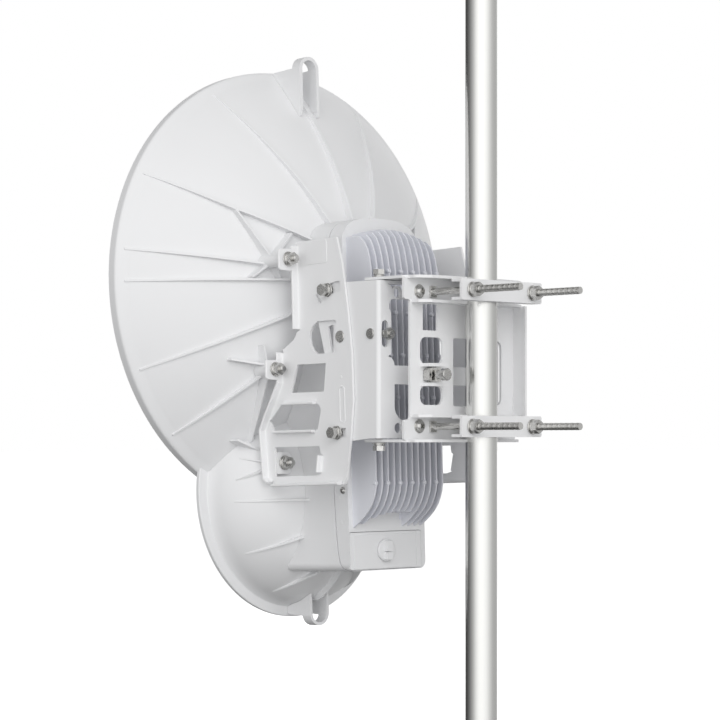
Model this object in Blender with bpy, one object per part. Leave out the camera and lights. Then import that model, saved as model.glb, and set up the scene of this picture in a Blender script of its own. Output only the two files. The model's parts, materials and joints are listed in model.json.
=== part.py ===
# Wireless bridge dish antenna on a pole, in metres, +Z up, dishes facing +Y
import math

import bmesh
import bpy
from mathutils import Matrix, Vector
from mathutils.geometry import delaunay_2d_cdt

MM = 0.001
GAP = 0.3  # clearance in mm between pieces that touch

# Pole and clamps, sizes in mm
POLE_R, POLE_WALL, POLE_LENGTH = 16.85, 3.0, 1000.0
CLAMP_Z, ROD_DZ, ROD_X = 500.0, 70.6, 46.0
ROD_R, ROD_TIP_Y = 3.9, -98.0
JAW_HALF_X, JAW_HALF_Z, JAW_Y, JAW_DEPTH = 61.5, 11.0, -27.0, 12.0
SHEET = 3.0
NUT_R, WASHER_R = 7.4, 8.0

# Pole bracket
WALL_Y, WALL_FRONT = 27.5, 30.5
SCREW_X, SCREW_Z = -51.2, 483.5
PLATE_TOP, PLATE_BOTTOM = 586.5, 413.0

# Joints
AZIMUTH_X, AZIMUTH_Y = -70.0, 82.4
PIVOT_Y, PIVOT_Z = 113.9, 524.9
TILT_DEG = -2.05  # the antenna looks a little down, as fitted

# Alignment bracket
U_HALF_X, U_REAR_Y, U_FRONT_Y = 93.5, 59.0, 153.0
U_TOP, U_BOTTOM = 582.5, 417.0

# Antenna, in its own level frame before the tilt
ARM_X = 97.0
MAIN_Z, MAIN_R = 592.6, 248.8
SMALL_Z, SMALL_R = 361.2, 139.6
MAIN_BACK, MAIN_FOCUS4 = 189.0, 542.4
SMALL_BACK, SMALL_FOCUS4 = 199.0, 263.0
COVER_REAR, COVER_SEAM, COVER_HALF_X = 148.0, 160.0, 57.0
COVER_TOP, COVER_FOOT = 660.0, 274.0
FIN_REAR, FIN_HALF_X, FIN_COUNT, FIN_T = 111.0, 50.0, 12, 2.2
STUDS = ((111.0, 612.0, 177.0), (108.0, 495.0, 205.0), (86.0, 394.0, 218.0))

for old in list(bpy.data.objects):
    bpy.data.objects.remove(old, do_unlink=True)


def material(name, colour, roughness, metallic=0.0):
    mat = bpy.data.materials.new(name)
    mat.use_nodes = True
    shader = mat.node_tree.nodes["Principled BSDF"]
    shader.inputs["Base Color"].default_value = (*colour, 1.0)
    shader.inputs["Roughness"].default_value = roughness
    shader.inputs["Metallic"].default_value = metallic
    mat.diffuse_color = (*colour, 1.0)
    return mat


# Shapes as bmesh, in mm
def mesh_of(verts, faces):
    bm = bmesh.new()
    made = [bm.verts.new(v) for v in verts]
    for face in faces:
        bm.faces.new([made[i] for i in face])
    bmesh.ops.recalc_face_normals(bm, faces=bm.faces)
    return bm


def place(axis, a, b, depth):
    """A point of a profile (a, b) set at a depth along an axis."""
    if axis == "X":
        return (depth, a, b)
    if axis == "Y":
        return (a, depth, b)
    return (a, b, depth)


def inside(point, loop):
    x, y = point
    hit = False
    for i in range(len(loop)):
        (x1, y1), (x2, y2) = loop[i - 1], loop[i]
        if (y1 > y) != (y2 > y) and x < x1 + (y - y1) * (x2 - x1) / (y2 - y1):
            hit = not hit
    return hit


def sheet(outline, holes, axis, low, high):
    """A flat plate with holes, cut from its outline and pulled along an axis."""
    loops = [list(outline)] + [list(hole) for hole in holes]
    points, edges = [], []
    for loop in loops:
        start = len(points)
        points += [Vector(p) for p in loop]
        edges += [(start + i, start + (i + 1) % len(loop)) for i in range(len(loop))]
    flat, _, faces, _, _, _ = delaunay_2d_cdt(points, edges, [], 0, 1e-4)
    kept = []
    for face in faces:
        mid = sum((flat[i] for i in face), Vector((0, 0))) / len(face)
        if inside(mid, loops[0]) and not any(inside(mid, hole) for hole in loops[1:]):
            kept.append(tuple(face))
    n = len(flat)
    verts = [place(axis, p[0], p[1], d) for d in (low, high) for p in flat]
    sides = {}
    for face in kept:
        for i in range(len(face)):
            a, b = face[i - 1], face[i]
            sides[(a, b)] = True
    walls = [(a, b, b + n, a + n) for a, b in sides if (b, a) not in sides]
    used = kept + [tuple(i + n for i in reversed(face)) for face in kept] + walls
    bm = mesh_of(verts, used)
    loose = [v for v in bm.verts if not v.link_faces]
    bmesh.ops.delete(bm, geom=loose, context="VERTS")
    return bm


def box(x0, x1, y0, y1, z0, z1):
    return sheet([(x0, y0), (x1, y0), (x1, y1), (x0, y1)], [], "Z", z0, z1)


def circle(cx, cy, r, count=20, turn=0.0):
    step = 2 * math.pi / count
    return [(cx + r * math.cos(turn + i * step), cy + r * math.sin(turn + i * step)) for i in range(count)]


def rounded(x0, x1, y0, y1, r, count=4):
    """A rectangle with round corners."""
    points = []
    for cx, cy, start in ((x1 - r, y1 - r, 0), (x0 + r, y1 - r, 90), (x0 + r, y0 + r, 180), (x1 - r, y0 + r, 270)):
        for i in range(count + 1):
            a = math.radians(start + 90 * i / count)
            points.append((cx + r * math.cos(a), cy + r * math.sin(a)))
    return points


def rod(axis, a, b, r, low, high, count=20, turn=0.0):
    return sheet(circle(a, b, r, count, turn), [], axis, low, high)


def revolve(profile, cz, count):
    """A closed profile of (radius, y) turned round the line x=0, z=cz."""
    verts, faces, ring = [], [], []
    for r, y in profile:
        if r < 1e-6:
            ring.append([len(verts)] * count)
            verts.append((0, y, cz))
        else:
            ring.append(list(range(len(verts), len(verts) + count)))
            for i in range(count):
                a = 2 * math.pi * i / count
                verts.append((r * math.cos(a), y, cz + r * math.sin(a)))
    for k in range(len(profile)):
        one, two = ring[k - 1], ring[k]
        for i in range(count):
            j = (i + 1) % count
            face = []
            for v in (one[i], one[j], two[j], two[i]):
                if v not in face:
                    face.append(v)
            if len(face) > 2:
                faces.append(tuple(face))
    return mesh_of(verts, faces)


def temporary(bm):
    mesh = bpy.data.meshes.new("tool")
    bm.to_mesh(mesh)
    bm.free()
    tool = bpy.data.objects.new("tool", mesh)
    bpy.context.scene.collection.objects.link(tool)
    return tool


def combine(base, steps):
    """Joins to or cuts from a shape in turn, each step an operation and a shape."""
    body = temporary(base)
    for operation, shape in steps:
        tool = temporary(shape)
        change = body.modifiers.new("change", "BOOLEAN")
        change.operation, change.object, change.solver = operation, tool, "EXACT"
        graph = bpy.context.evaluated_depsgraph_get()
        made = bpy.data.meshes.new_from_object(body.evaluated_get(graph))
        body.modifiers.clear()
        body.data = made
        bpy.data.objects.remove(tool, do_unlink=True)
    bm = bmesh.new()
    bm.from_mesh(body.data)
    bpy.data.objects.remove(body, do_unlink=True)
    bmesh.ops.remove_doubles(bm, verts=bm.verts, dist=0.0005)
    return bm


def mirrored(bm):
    bmesh.ops.transform(bm, matrix=Matrix.Scale(-1, 4, (1, 0, 0)), verts=bm.verts)
    bmesh.ops.reverse_faces(bm, faces=bm.faces)
    return bm


# Frames on the joint axes
def frame(name, x, y, z, tilt=0.0, parent=None):
    empty = bpy.data.objects.new(name, None)
    empty.location = (x * MM, y * MM, z * MM)
    if parent is not None:
        empty.parent = parent
        empty.location = empty.location - parent.location
    empty.rotation_euler.x = math.radians(tilt)
    bpy.context.scene.collection.objects.link(empty)
    empty["at"] = (x, y, z)
    return empty


azimuth = frame("azimuth_axis", AZIMUTH_X, AZIMUTH_Y, CLAMP_Z)
elevation = frame("elevation_axis", 0.0, PIVOT_Y, PIVOT_Z, TILT_DEG, azimuth)


def node(name, bm, mat, parent=None, smooth=False):
    shift = Vector(parent["at"]) if parent else Vector((0, 0, 0))
    bmesh.ops.translate(bm, verts=bm.verts, vec=-shift)
    bmesh.ops.scale(bm, verts=bm.verts, vec=(MM, MM, MM))
    mesh = bpy.data.meshes.new(name)
    bm.to_mesh(mesh)
    bm.free()
    mesh.materials.append(mat)
    obj = bpy.data.objects.new(name, mesh)
    obj.parent = parent
    bpy.context.scene.collection.objects.link(obj)
    if smooth:
        mesh.polygons.foreach_set("use_smooth", [True] * len(mesh.polygons))
        mesh.set_sharp_from_angle(angle=math.radians(35))
    return obj


PAINT = material("white_paint", (0.80, 0.81, 0.82), 0.45)
PLASTIC = material("white_plastic", (0.82, 0.83, 0.84), 0.4)
CASTING = material("grey_casting", (0.62, 0.65, 0.70), 0.5)
STEEL = material("plain_steel", (0.55, 0.55, 0.52), 0.35, 1.0)
TUBE = material("satin_tube", (0.75, 0.75, 0.74), 0.28, 1.0)

# Pole, closed by a disc at its foot
POLE = [(0, 0), (POLE_R, 0), (POLE_R, POLE_LENGTH), (POLE_R - POLE_WALL, POLE_LENGTH), (POLE_R - POLE_WALL, 5.0), (0, 5.0)]
pole = revolve(POLE, 0, 32)
bmesh.ops.rotate(pole, verts=pole.verts, matrix=Matrix.Rotation(math.radians(90), 3, "X"))
bmesh.ops.recalc_face_normals(pole, faces=pole.faces)
node("pole", pole, TUBE, smooth=True)

# Pole bracket: a pressed wall between two channel arms that carry the hinge plates
UPPER, LOWER = CLAMP_Z + ROD_DZ, CLAMP_Z - ROD_DZ
wall_outline = [(-83, 437), (-90, 436), (-90, 414.5), (83, 414.5), (83, 585), (-90, 585), (-90, 562), (-83, 561)]
wall_holes = [rounded(-60, -39, 531, 556, 1.5, 2), rounded(-64, -33, 494.6, 522, 8), rounded(-64, -33, 452, 472.4, 8)]
wall_holes += [rounded(-14, 14, 451, 522, 1.5, 2), rounded(33, 63, 452, 522, 8)]
wall_holes += [circle(SCREW_X, SCREW_Z, 4.3, 16)]
wall = sheet(wall_outline, wall_holes, "Y", WALL_Y, WALL_Y + SHEET)
steps = []
rear_edge = [(-82, 17), (-66, 8), (-40, 6), (-18, 4), (18, 4), (40, 6), (66, 8), (82, 17)]
inner_flange = rear_edge + [(82, 29), (-82, 29)]
hinge_plate = rear_edge + [(82, 38), (60, 46), (-50, 56), (-54, 88), (-60, 94), (-79, 94), (-86, 88), (-88, 40), (-88, 31), (-82, 26)]
for low in (UPPER - 12.4, LOWER + 9.4):
    steps.append(("UNION", sheet(inner_flange, [], "Z", low, low + SHEET)))
for low in (PLATE_TOP - SHEET, PLATE_BOTTOM):
    hole = circle(AZIMUTH_X, AZIMUTH_Y, 4.6, 16)
    steps.append(("UNION", sheet(hinge_plate, [hole], "Z", low, low + SHEET)))
for z0, z1 in ((563, 584), (415.5, 435)):
    steps.append(("UNION", box(-89.5, -86.5, WALL_Y + 1, 42, z0, z1)))
# The lips round the azimuth screw, and the stiffening lip at the far edge
steps.append(("UNION", box(-63, -34, 15.5, 29, 492, 495.5)))
steps.append(("UNION", box(-63, -34, 15.5, 29, 471.5, 475)))
steps.append(("UNION", box(79.5, 82.5, 10, 29, LOWER + 14, UPPER - 14)))
for x in (-ROD_X, ROD_X):
    for z in (UPPER, LOWER):
        steps.append(("DIFFERENCE", rod("Y", x, z, ROD_R + 0.5, 20, 60, 16)))
steps.append(("DIFFERENCE", rod("Z", 0, 0, POLE_R + GAP, 405, 595, 32)))
node("pole_bracket", combine(wall, steps), PAINT)

# Rear jaws: channels with round notches for the pole
jaw_outline = rounded(-JAW_HALF_X, JAW_HALF_X, -JAW_HALF_Z, JAW_HALF_Z, 2.5, 2)
for label, z in (("upper", UPPER), ("lower", LOWER)):
    web = sheet([(x, z + d) for x, d in jaw_outline], [circle(s * ROD_X, z, ROD_R + 0.5, 16) for s in (-1, 1)], "Y", JAW_Y, JAW_Y + SHEET)
    lips = []
    for low in (z - JAW_HALF_Z, z + JAW_HALF_Z - SHEET):
        lip = box(-JAW_HALF_X + 0.5, JAW_HALF_X - 0.5, JAW_Y + 0.6, JAW_Y + JAW_DEPTH, low, low + SHEET)
        lips.append(("UNION", lip))
    lips.append(("DIFFERENCE", rod("Z", 0, 0, POLE_R + GAP, z - 20, z + 20, 32)))
    node("clamp_jaw_" + label, combine(web, lips), PAINT)

# Clamp rods with their inner nuts, and the outer nuts on washers
def nut(axis, a, b, low, high, washer_low, washer_high, bore=0.0):
    """A hexagon nut over a round washer, as one shape."""
    hole = [circle(a, b, bore, 16)] if bore else []
    hexagon = sheet(circle(a, b, NUT_R, 6, math.radians(30)), hole, axis, low, high)
    disc = sheet(circle(a, b, WASHER_R, 20), hole, axis, washer_low, washer_high)
    return combine(hexagon, [("UNION", disc)])


for side, x in (("left", -ROD_X), ("right", ROD_X)):
    for label, z in (("upper", UPPER), ("lower", LOWER)):
        inner = combine(rod("Y", x, z, ROD_R, ROD_TIP_Y, WALL_FRONT + 2.5, 16), [
            ("UNION", rod("Y", x, z, NUT_R, 19.0, 26.0, 6, math.radians(30))),
            ("UNION", rod("Y", x, z, WASHER_R, 25.5, WALL_Y - GAP, 20))])
        node("clamp_rod_%s_%s" % (label, side), inner, STEEL, smooth=True)
        outer = nut("Y", x, z, JAW_Y - 11, JAW_Y - 3.5, JAW_Y - 4, JAW_Y - GAP, ROD_R + GAP)
        node("clamp_nut_%s_%s" % (label, side), outer, STEEL, smooth=True)

# Azimuth hinge bolts and the azimuth screw
for label, z, up in (("upper", PLATE_TOP, 1), ("lower", PLATE_BOTTOM, -1)):
    def level(a, b):
        return tuple(sorted((z + up * a, z + up * b)))
    bolt = combine(rod("Z", AZIMUTH_X, AZIMUTH_Y, 4.0, *level(-11.5, 4), 20), [
        ("UNION", rod("Z", AZIMUTH_X, AZIMUTH_Y, WASHER_R, *level(GAP, 2), 20)),
        ("UNION", rod("Z", AZIMUTH_X, AZIMUTH_Y, 6.2, *level(1.5, 4.5), 20)),
        ("UNION", rod("Z", AZIMUTH_X, AZIMUTH_Y, NUT_R, *level(4, 10), 6))])
    node("azimuth_bolt_" + label, bolt, STEEL, smooth=True)
screw = combine(box(-55, -47.5, 8, 26.8, 475.8, 491.2), [
    ("UNION", rod("Y", SCREW_X, SCREW_Z, 6.6, -4, 12, 20)),
    ("UNION", rod("Y", SCREW_X, SCREW_Z, 7.0, -11, -3.5, 6)),
    ("UNION", rod("Y", SCREW_X, SCREW_Z, 3.8, 20, 44, 16))])
node("azimuth_screw", screw, STEEL, smooth=True)

# Alignment bracket: rear wall and two side walls, hung on the azimuth axis
left_window = [(-74, 568 - 6), (-72, 565), (-69, 566), (69, 566), (74, 562), (74, 504), (69, 495), (-69, 495), (-74, 503)]
rear_holes = [left_window, rounded(-69, 69, 436, 474, 9), rounded(-88.5, -80.5, 514, 539, 3.9)]
rear_holes += [rounded(80.5, 88.5, 514, 539, 3.9), circle(-67, 571.5, 4, 14), circle(-65, 428, 4, 14)]
rear = sheet(rounded(-U_HALF_X, U_HALF_X, U_BOTTOM, U_TOP, 2, 2), rear_holes, "Y", U_REAR_Y, U_REAR_Y + SHEET)
side_outline = [(U_REAR_Y + 0.2, U_BOTTOM + 0.2), (72, U_BOTTOM + 0.2), (98, 414.5), (124, 414.5), (131, 421),
                (131, 500), (141, 507), (U_FRONT_Y - 2, 541), (U_FRONT_Y, 562), (U_FRONT_Y, 576), (147, 582.3), (U_REAR_Y + 0.2, U_TOP - 0.2)]
LOCKS = ((574.8, 132.5), (423.0, 117.5))
side_holes = [circle(PIVOT_Y, PIVOT_Z, 6.3, 20)] + [circle(y, z, 4.4, 16) for z, y in LOCKS]
steps = []
for side in (-1, 1):
    xs = sorted((side * U_HALF_X, side * (U_HALF_X - SHEET)))
    steps.append(("UNION", sheet(side_outline, side_holes, "X", *xs)))
for low in (U_TOP - SHEET, U_BOTTOM):
    tab = [(-93, 60), (-93, 84), (-88, 92), (-60, 92), (-56, 88), (-56, 60)]
    steps.append(("UNION", sheet(tab, [circle(AZIMUTH_X, AZIMUTH_Y, 4.6, 16)], "Z", low + 0.1, low + SHEET - 0.1)))
node("alignment_bracket", combine(rear, steps), PAINT, azimuth)

# Pivot pins, lock bolts and elevation screws on the alignment bracket
for side, s in (("left", -1), ("right", 1)):
    def across(a, b):
        return tuple(sorted((s * a, s * b)))
    pin = combine(rod("X", PIVOT_Y, PIVOT_Z, 5.9, *across(86, ARM_X + 1), 20), [
        ("UNION", rod("X", PIVOT_Y, PIVOT_Z, 8.2, *across(86, U_HALF_X - SHEET - GAP), 20)),
        ("UNION", rod("X", PIVOT_Y, PIVOT_Z, 6.6, *across(ARM_X + 0.5, ARM_X + 3), 20))])
    node("pivot_pin_" + side, pin, STEEL, azimuth, smooth=True)
    for label, (z, y) in zip(("upper", "lower"), LOCKS):
        bolt = combine(rod("X", y, z, 4.0, *across(84, ARM_X + 6), 16), [
            ("UNION", rod("X", y, z, NUT_R, *across(84, U_HALF_X - SHEET - GAP), 6)),
            ("UNION", rod("X", y, z, WASHER_R, *across(ARM_X + 0.5, ARM_X + 2.5), 20)),
            ("UNION", rod("X", y, z, 6.4, *across(ARM_X + 2, ARM_X + 5), 20)),
            ("UNION", rod("X", y, z, 6.9, *across(ARM_X + 4.5, ARM_X + 12), 6))])
        node("lock_bolt_%s_%s" % (label, side), bolt, STEEL, azimuth, smooth=True)
screw = combine(rod("Y", -84.5, 526.5, 3.6, 47, 74, 16), [
    ("UNION", rod("Y", -84.5, 526.5, 6.4, 56, U_REAR_Y - GAP, 20)),
    ("UNION", rod("Y", -84.5, 526.5, 6.6, 46.5, 56.5, 6)),
    ("UNION", box(-90, -78, U_REAR_Y + SHEET + GAP, 72, 518, 535))])
node("elevation_screw_left", screw, STEEL, azimuth, smooth=True)


# Arms: pressed side plates with turned edges, tabs and windows
def grown(loop, by):
    """The loop moved inwards by a distance."""
    out = []
    for i in range(len(loop)):
        a, b, c = Vector(loop[i - 1]), Vector(loop[i]), Vector(loop[(i + 1) % len(loop)])
        n1 = Vector((-(b - a).y, (b - a).x)).normalized()
        n2 = Vector((-(c - b).y, (c - b).x)).normalized()
        n = (n1 + n2) / max(0.3, 1 + n1.dot(n2))
        out.append(tuple(b + n * by))
    return out


def edge_lip(points, inward, x0, x1):
    """A turned edge that follows some of the arm's outline."""
    return sheet(points + inward[::-1], [], "X", x0, x1)


def slot(radius, start, end, half, count=6):
    """A curved slot round the pivot, angles in degrees from +Y."""
    points = []
    for i in range(count + 1):
        a = math.radians(start + (end - start) * i / count)
        points.append((PIVOT_Y + (radius + half) * math.cos(a), PIVOT_Z + (radius + half) * math.sin(a)))
    for i in range(count + 1):
        a = math.radians(end + (start - end) * i / count)
        points.append((PIVOT_Y + (radius - half) * math.cos(a), PIVOT_Z + (radius - half) * math.sin(a)))
    return points


arm_outline = [(180, 631), (116, 631), (108, 600), (101.5, 553), (97, 506), (96.5, 457), (102, 414), (109, 374), (113, 368),
               (224, 368), (234.5, 376), (238.5, 430), (231, 444), (208, 481), (208, 506), (196, 518), (181, 537), (180, 596)]
arm_holes = [[(157, 544), (122, 543), (123, 507), (147, 508), (160, 524)],
             [(182, 499), (137, 498), (141, 468), (193, 469)],
             [(209, 456), (150, 455), (146, 449), (152, 428), (222, 429), (228, 440)],
             [(221, 411), (150, 410), (148, 402), (152, 379), (221, 379)],
             circle(PIVOT_Y, PIVOT_Z, 6.3, 20)]
for z, y in LOCKS:
    turned = math.radians(-TILT_DEG)
    dy, dz = y - PIVOT_Y, z - PIVOT_Z
    ay, az = dy * math.cos(turned) - dz * math.sin(turned), dy * math.sin(turned) + dz * math.cos(turned)
    angle = math.degrees(math.atan2(az, ay))
    travel = 9.0 if z > PIVOT_Z else 7.1
    arm_holes.append(slot(math.hypot(ay, az), angle - travel, angle + travel, 4.7))
for side, s in (("left", -1), ("right", 1)):
    def span(a, b):
        return tuple(sorted((s * a, s * b)))
    body = sheet(arm_outline, arm_holes, "X", *span(ARM_X - SHEET, ARM_X))
    inset = grown(arm_outline, 3.6)
    steps = []
    for chain in (range(9, 14), range(15, 18)):
        loop = [(grown(arm_outline, 0.6)[i], inset[i]) for i in chain]
        steps.append(("UNION", edge_lip([o for o, _ in loop], [i for _, i in loop], *span(ARM_X - 2, ARM_X + 8))))
    foot = [(112, 368.6), (223, 368.6), (223, 371.6), (112, 371.6)]
    steps.append(("UNION", sheet(foot, [], "X", *span(ARM_X - 2, ARM_X + 8))))
    (x1, z1, y1), (x2, z2, y2), (x3, z3, y3) = STUDS
    for (x0, xe), (z0, ze), y in (((ARM_X - 2, 124), (600, 623), y1), ((ARM_X - 2, 121), (484, 505), y2)):
        tab = sheet([(s * x0, z0), (s * xe, z0), (s * xe, ze), (s * x0, ze)], [circle(s * (x1 if y == y1 else x2), z1 if y == y1 else z2, 4.4, 16)], "Y", y, y + SHEET)
        steps.append(("UNION", tab))
    tab = sheet([(s * 76, 382), (s * (ARM_X - 0.5), 382), (s * (ARM_X - 0.5), 406), (s * 76, 406)], [circle(s * x3, z3, 4.4, 16)], "Y", y3 + 0.2, y3 + SHEET + 0.4)
    steps.append(("UNION", tab))
    node("side_arm_" + side, combine(body, steps), PAINT, elevation)
    for label, (x, z, y) in zip(("upper", "middle", "lower"), STUDS):
        y = y if label != "lower" else y + 0.2
        stud = combine(rod("Y", s * x, z, 3.9, y - 15, y + SHEET + 6, 16), [
            ("UNION", rod("Y", s * x, z, WASHER_R, y - 2.4, y - GAP, 20)),
            ("UNION", rod("Y", s * x, z, NUT_R, y - 9, y - 2, 6))])
        node("stud_nut_%s_%s" % (label, side), stud, STEEL, elevation, smooth=True)


# Reflectors
def main_back(r):
    return MAIN_BACK + r * r / MAIN_FOCUS4


def small_back(r):
    return SMALL_BACK + r * r / SMALL_FOCUS4 + 4 * max(0.0, 1 - abs(r - 95) / 45)


main_rings = [0, 40, 80, 115, 145, 172, 196, 217, 234]
MAIN_OUTSIDE = [(r, main_back(r)) for r in main_rings] + [(240, 295.5), (245, 299), (248.8, 302.5)]
MAIN_PROFILE = MAIN_OUTSIDE + [(248.8, 313), (245.3, 313), (244, 305), (239.5, 301)]
MAIN_PROFILE += [(r, main_back(r) + 4.2 + r / 100) for r in reversed(main_rings)]
small_rings = [0, 30, 58, 80, 98, 111]
SMALL_OUTSIDE = [(r, small_back(r)) for r in small_rings] + [(113.5, 256), (117, 268), (123, 278), (131, 286), (138, 290), (139.6, 292)]
SMALL_PROFILE = SMALL_OUTSIDE + [(139.6, 303), (136.2, 303), (135, 294), (128, 289), (119, 281), (113, 270), (109, 257)]
SMALL_PROFILE += [(r, small_back(r) + 4.2 + r / 80) for r in reversed(small_rings[:-1])]
MAIN_SEGMENTS, SMALL_SEGMENTS = 64, 48


def main_space(gap):
    """Everything in front of the main reflector's back."""
    rings = [(0, MAIN_BACK - gap)] + [(r, main_back(r) - gap) for r in main_rings[1:]]
    rings += [(240, 295.5 - gap), (245, 299 - gap), (249.1 + gap, 302.5 - gap), (249.1 + gap, 330), (0, 330)]
    return revolve(rings, MAIN_Z, MAIN_SEGMENTS)


def small_space(gap):
    rings = [(0, SMALL_BACK - gap)] + [(r, small_back(r) - gap) for r in small_rings[1:]]
    rings += [(113.5 + gap, 256 - gap), (117 + gap, 268 - gap), (123, 278 - gap), (131, 286 - gap), (139.9 + gap, 290 - gap), (139.9 + gap, 330), (0, 330)]
    return revolve(rings, SMALL_Z, SMALL_SEGMENTS)


def depth_at(outside, r):
    """How far forward the back of a reflector lies at a radius."""
    for (r0, y0), (r1, y1) in zip(outside, outside[1:]):
        if r <= r1:
            return y0 + (y1 - y0) * (r - r0) / (r1 - r0)
    return outside[-1][1]


def surface_rib(start, end, centre_z, outside, tall_start, tall_end, thick=2.6, count=8):
    """A thin rib that follows a reflector's back between two points (x, z)."""
    (x0, z0), (x1, z1) = start, end
    length = math.hypot(x1 - x0, z1 - z0)
    nx, nz = -(z1 - z0) / length * thick / 2, (x1 - x0) / length * thick / 2
    verts, faces = [], []
    for i in range(count + 1):
        t = i / count
        x, z = x0 + (x1 - x0) * t, z0 + (z1 - z0) * t
        y = depth_at(outside, math.hypot(x, z - centre_z))
        tall = tall_start + (tall_end - tall_start) * t
        for sx in (-1, 1):
            verts.append((x + sx * nx, y + 2.2, z + sx * nz))
            verts.append((x + sx * nx, y - tall, z + sx * nz))
    for i in range(count):
        a = 4 * i
        faces += [(a, a + 4, a + 5, a + 1), (a + 2, a + 3, a + 7, a + 6), (a + 1, a + 5, a + 7, a + 3), (a, a + 2, a + 6, a + 4)]
    faces += [(0, 1, 3, 2), (4 * count, 4 * count + 2, 4 * count + 3, 4 * count + 1)]
    return mesh_of(verts, faces)


def polar(angle, radius, centre_z):
    a = math.radians(angle)
    return (radius * math.cos(a), centre_z + radius * math.sin(a))


# Ribs of the right half, each from a point to a point with its height at both
FORK = polar(29.3, 158, MAIN_Z)
MAIN_RIBS = [(polar(63, 62, MAIN_Z), polar(63, 240, MAIN_Z), 9, 1.0), (FORK, polar(29.3, 242, MAIN_Z), 7, 1.0),
             (polar(36, 76, MAIN_Z), FORK, 9, 7.4), ((112, 616), (125, 650), 9, 8), ((124.6, 648), FORK, 8, 6.6),
             (polar(8.3, 119, MAIN_Z), polar(8.3, 242, MAIN_Z), 9, 1.0), (polar(0, 83, MAIN_Z), polar(0, 241, MAIN_Z), 8.6, 1.2),
             (polar(-23.2, 118, MAIN_Z), polar(-23.2, 242, MAIN_Z), 9, 1.0), (polar(-43, 146, MAIN_Z), polar(-43, 243, MAIN_Z), 9, 1.0)]
SMALL_RIBS = [((61, 354), (123, 354), 7, 1.0), ((58, 314), (108, 296), 7, 1.0), ((35, 272), (66, 253), 6, 1.0),
              ((101, 398.5), (116, 401), 4, 1.0), ((102, 384), (122, 377.5), 4, 1.0)]

steps = []
for side in (-1, 1):
    for (x, z, y) in STUDS[:2]:
        steps.append(("UNION", rod("Y", side * x, z, 10.5, y + SHEET + GAP, main_back(math.hypot(x, z - MAIN_Z)) + 2.5, 16)))
        steps.append(("DIFFERENCE", rod("Y", side * x, z, 4.3, y + SHEET - 5, y + SHEET + 8, 16)))
    for (x0, z0), (x1, z1), tall, low in MAIN_RIBS:
        steps.append(("UNION", surface_rib((side * x0, z0), (side * x1, z1), MAIN_Z, MAIN_OUTSIDE, tall, low)))
steps.append(("UNION", surface_rib((0, MAIN_Z + 70), (0, MAIN_Z + 226), MAIN_Z, MAIN_OUTSIDE, 9, 3)))
node("main_reflector", combine(revolve(MAIN_PROFILE, MAIN_Z, MAIN_SEGMENTS), steps), PLASTIC, elevation, smooth=True)

steps = []
for side in (-1, 1):
    x, z, y = STUDS[2]
    y += 0.4
    steps.append(("UNION", rod("Y", side * x, z, 7.4, y + SHEET + GAP, small_back(math.hypot(x, z - SMALL_Z)) + 2.5, 16)))
    steps.append(("DIFFERENCE", rod("Y", side * x, z, 4.3, y + SHEET - 5, y + SHEET + 7, 16)))
    for (x0, z0), (x1, z1), tall, low in SMALL_RIBS:
        steps.append(("UNION", surface_rib((side * x0, z0), (side * x1, z1), SMALL_Z, SMALL_OUTSIDE, tall, low, count=6)))
steps.append(("UNION", surface_rib((0, SMALL_Z - 62), (0, SMALL_Z - 117), SMALL_Z, SMALL_OUTSIDE, 7, 3, count=5)))
steps.append(("DIFFERENCE", main_space(GAP)))
node("small_reflector", combine(revolve(SMALL_PROFILE, SMALL_Z, SMALL_SEGMENTS), steps), PLASTIC, elevation, smooth=True)


# Housing between the reflectors and the cover
def arch(half, top, foot, corner=12.0, count=10):
    centre = top - half
    points = [(half * math.cos(math.pi * i / count), centre + half * math.sin(math.pi * i / count)) for i in range(count + 1)]
    for cx, start in ((-half + corner, 180), (half - corner, 270)):
        for i in range(4):
            a = math.radians(start + 30 * i)
            points.append((cx + corner * math.cos(a), foot + corner + corner * math.sin(a)))
    return points


hub = sheet(arch(COVER_HALF_X, COVER_TOP, COVER_FOOT), [], "Y", COVER_SEAM + GAP, 262)
ribs_cut = []
hub_steps = [("DIFFERENCE", main_space(GAP + 9.6)), ("DIFFERENCE", small_space(GAP + 7.6))]
node("hub_housing", combine(hub, hub_steps), PLASTIC, elevation, smooth=True)

# Finned cover
cover = sheet(arch(COVER_HALF_X, COVER_TOP, COVER_FOOT), [], "Y", COVER_REAR, COVER_SEAM)
fin_side = [(149.5, 634), (127, 634), (119, 627), (114, 616), (FIN_REAR, 600), (FIN_REAR, 372), (114, 354), (122, 341), (136, 330), (149.5, 323)]
base_side = [(149.5, 632), (139, 632), (136, 620), (136, 350), (149.5, 326)]
steps = [("UNION", sheet(base_side, [], "X", -FIN_HALF_X + 0.5, FIN_HALF_X - 0.5))]
for i in range(FIN_COUNT):
    x = -FIN_HALF_X + FIN_T / 2 + i * (2 * FIN_HALF_X - FIN_T) / (FIN_COUNT - 1)
    rise = 14 * (1 - (x / FIN_HALF_X) ** 2)
    shape = [(y, z + rise if z > 610 else z) for y, z in fin_side]
    steps.append(("UNION", sheet(shape, [], "X", x - FIN_T / 2, x + FIN_T / 2)))
node("finned_cover", combine(cover, steps), CASTING, elevation, smooth=True)

# Port door and its knob
node("port_door", sheet(rounded(-53, 54, 277, 318, 4, 3), [], "Y", COVER_REAR - 3.5, COVER_REAR - GAP), PLASTIC, elevation)
knob = combine(rod("Y", -2, 297, 13, COVER_REAR - 6, COVER_REAR - 3.5 - GAP, 24), [
    ("UNION", box(-7, 3, COVER_REAR - 13, COVER_REAR - 5, 287, 307))])
node("door_knob", knob, PLASTIC, elevation, smooth=True)


# Lifting lugs at both ends: an arch on two side plates that run forward to the rim
LUG_HALF, LUG_PLATE = 14.5, 3.0


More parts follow.
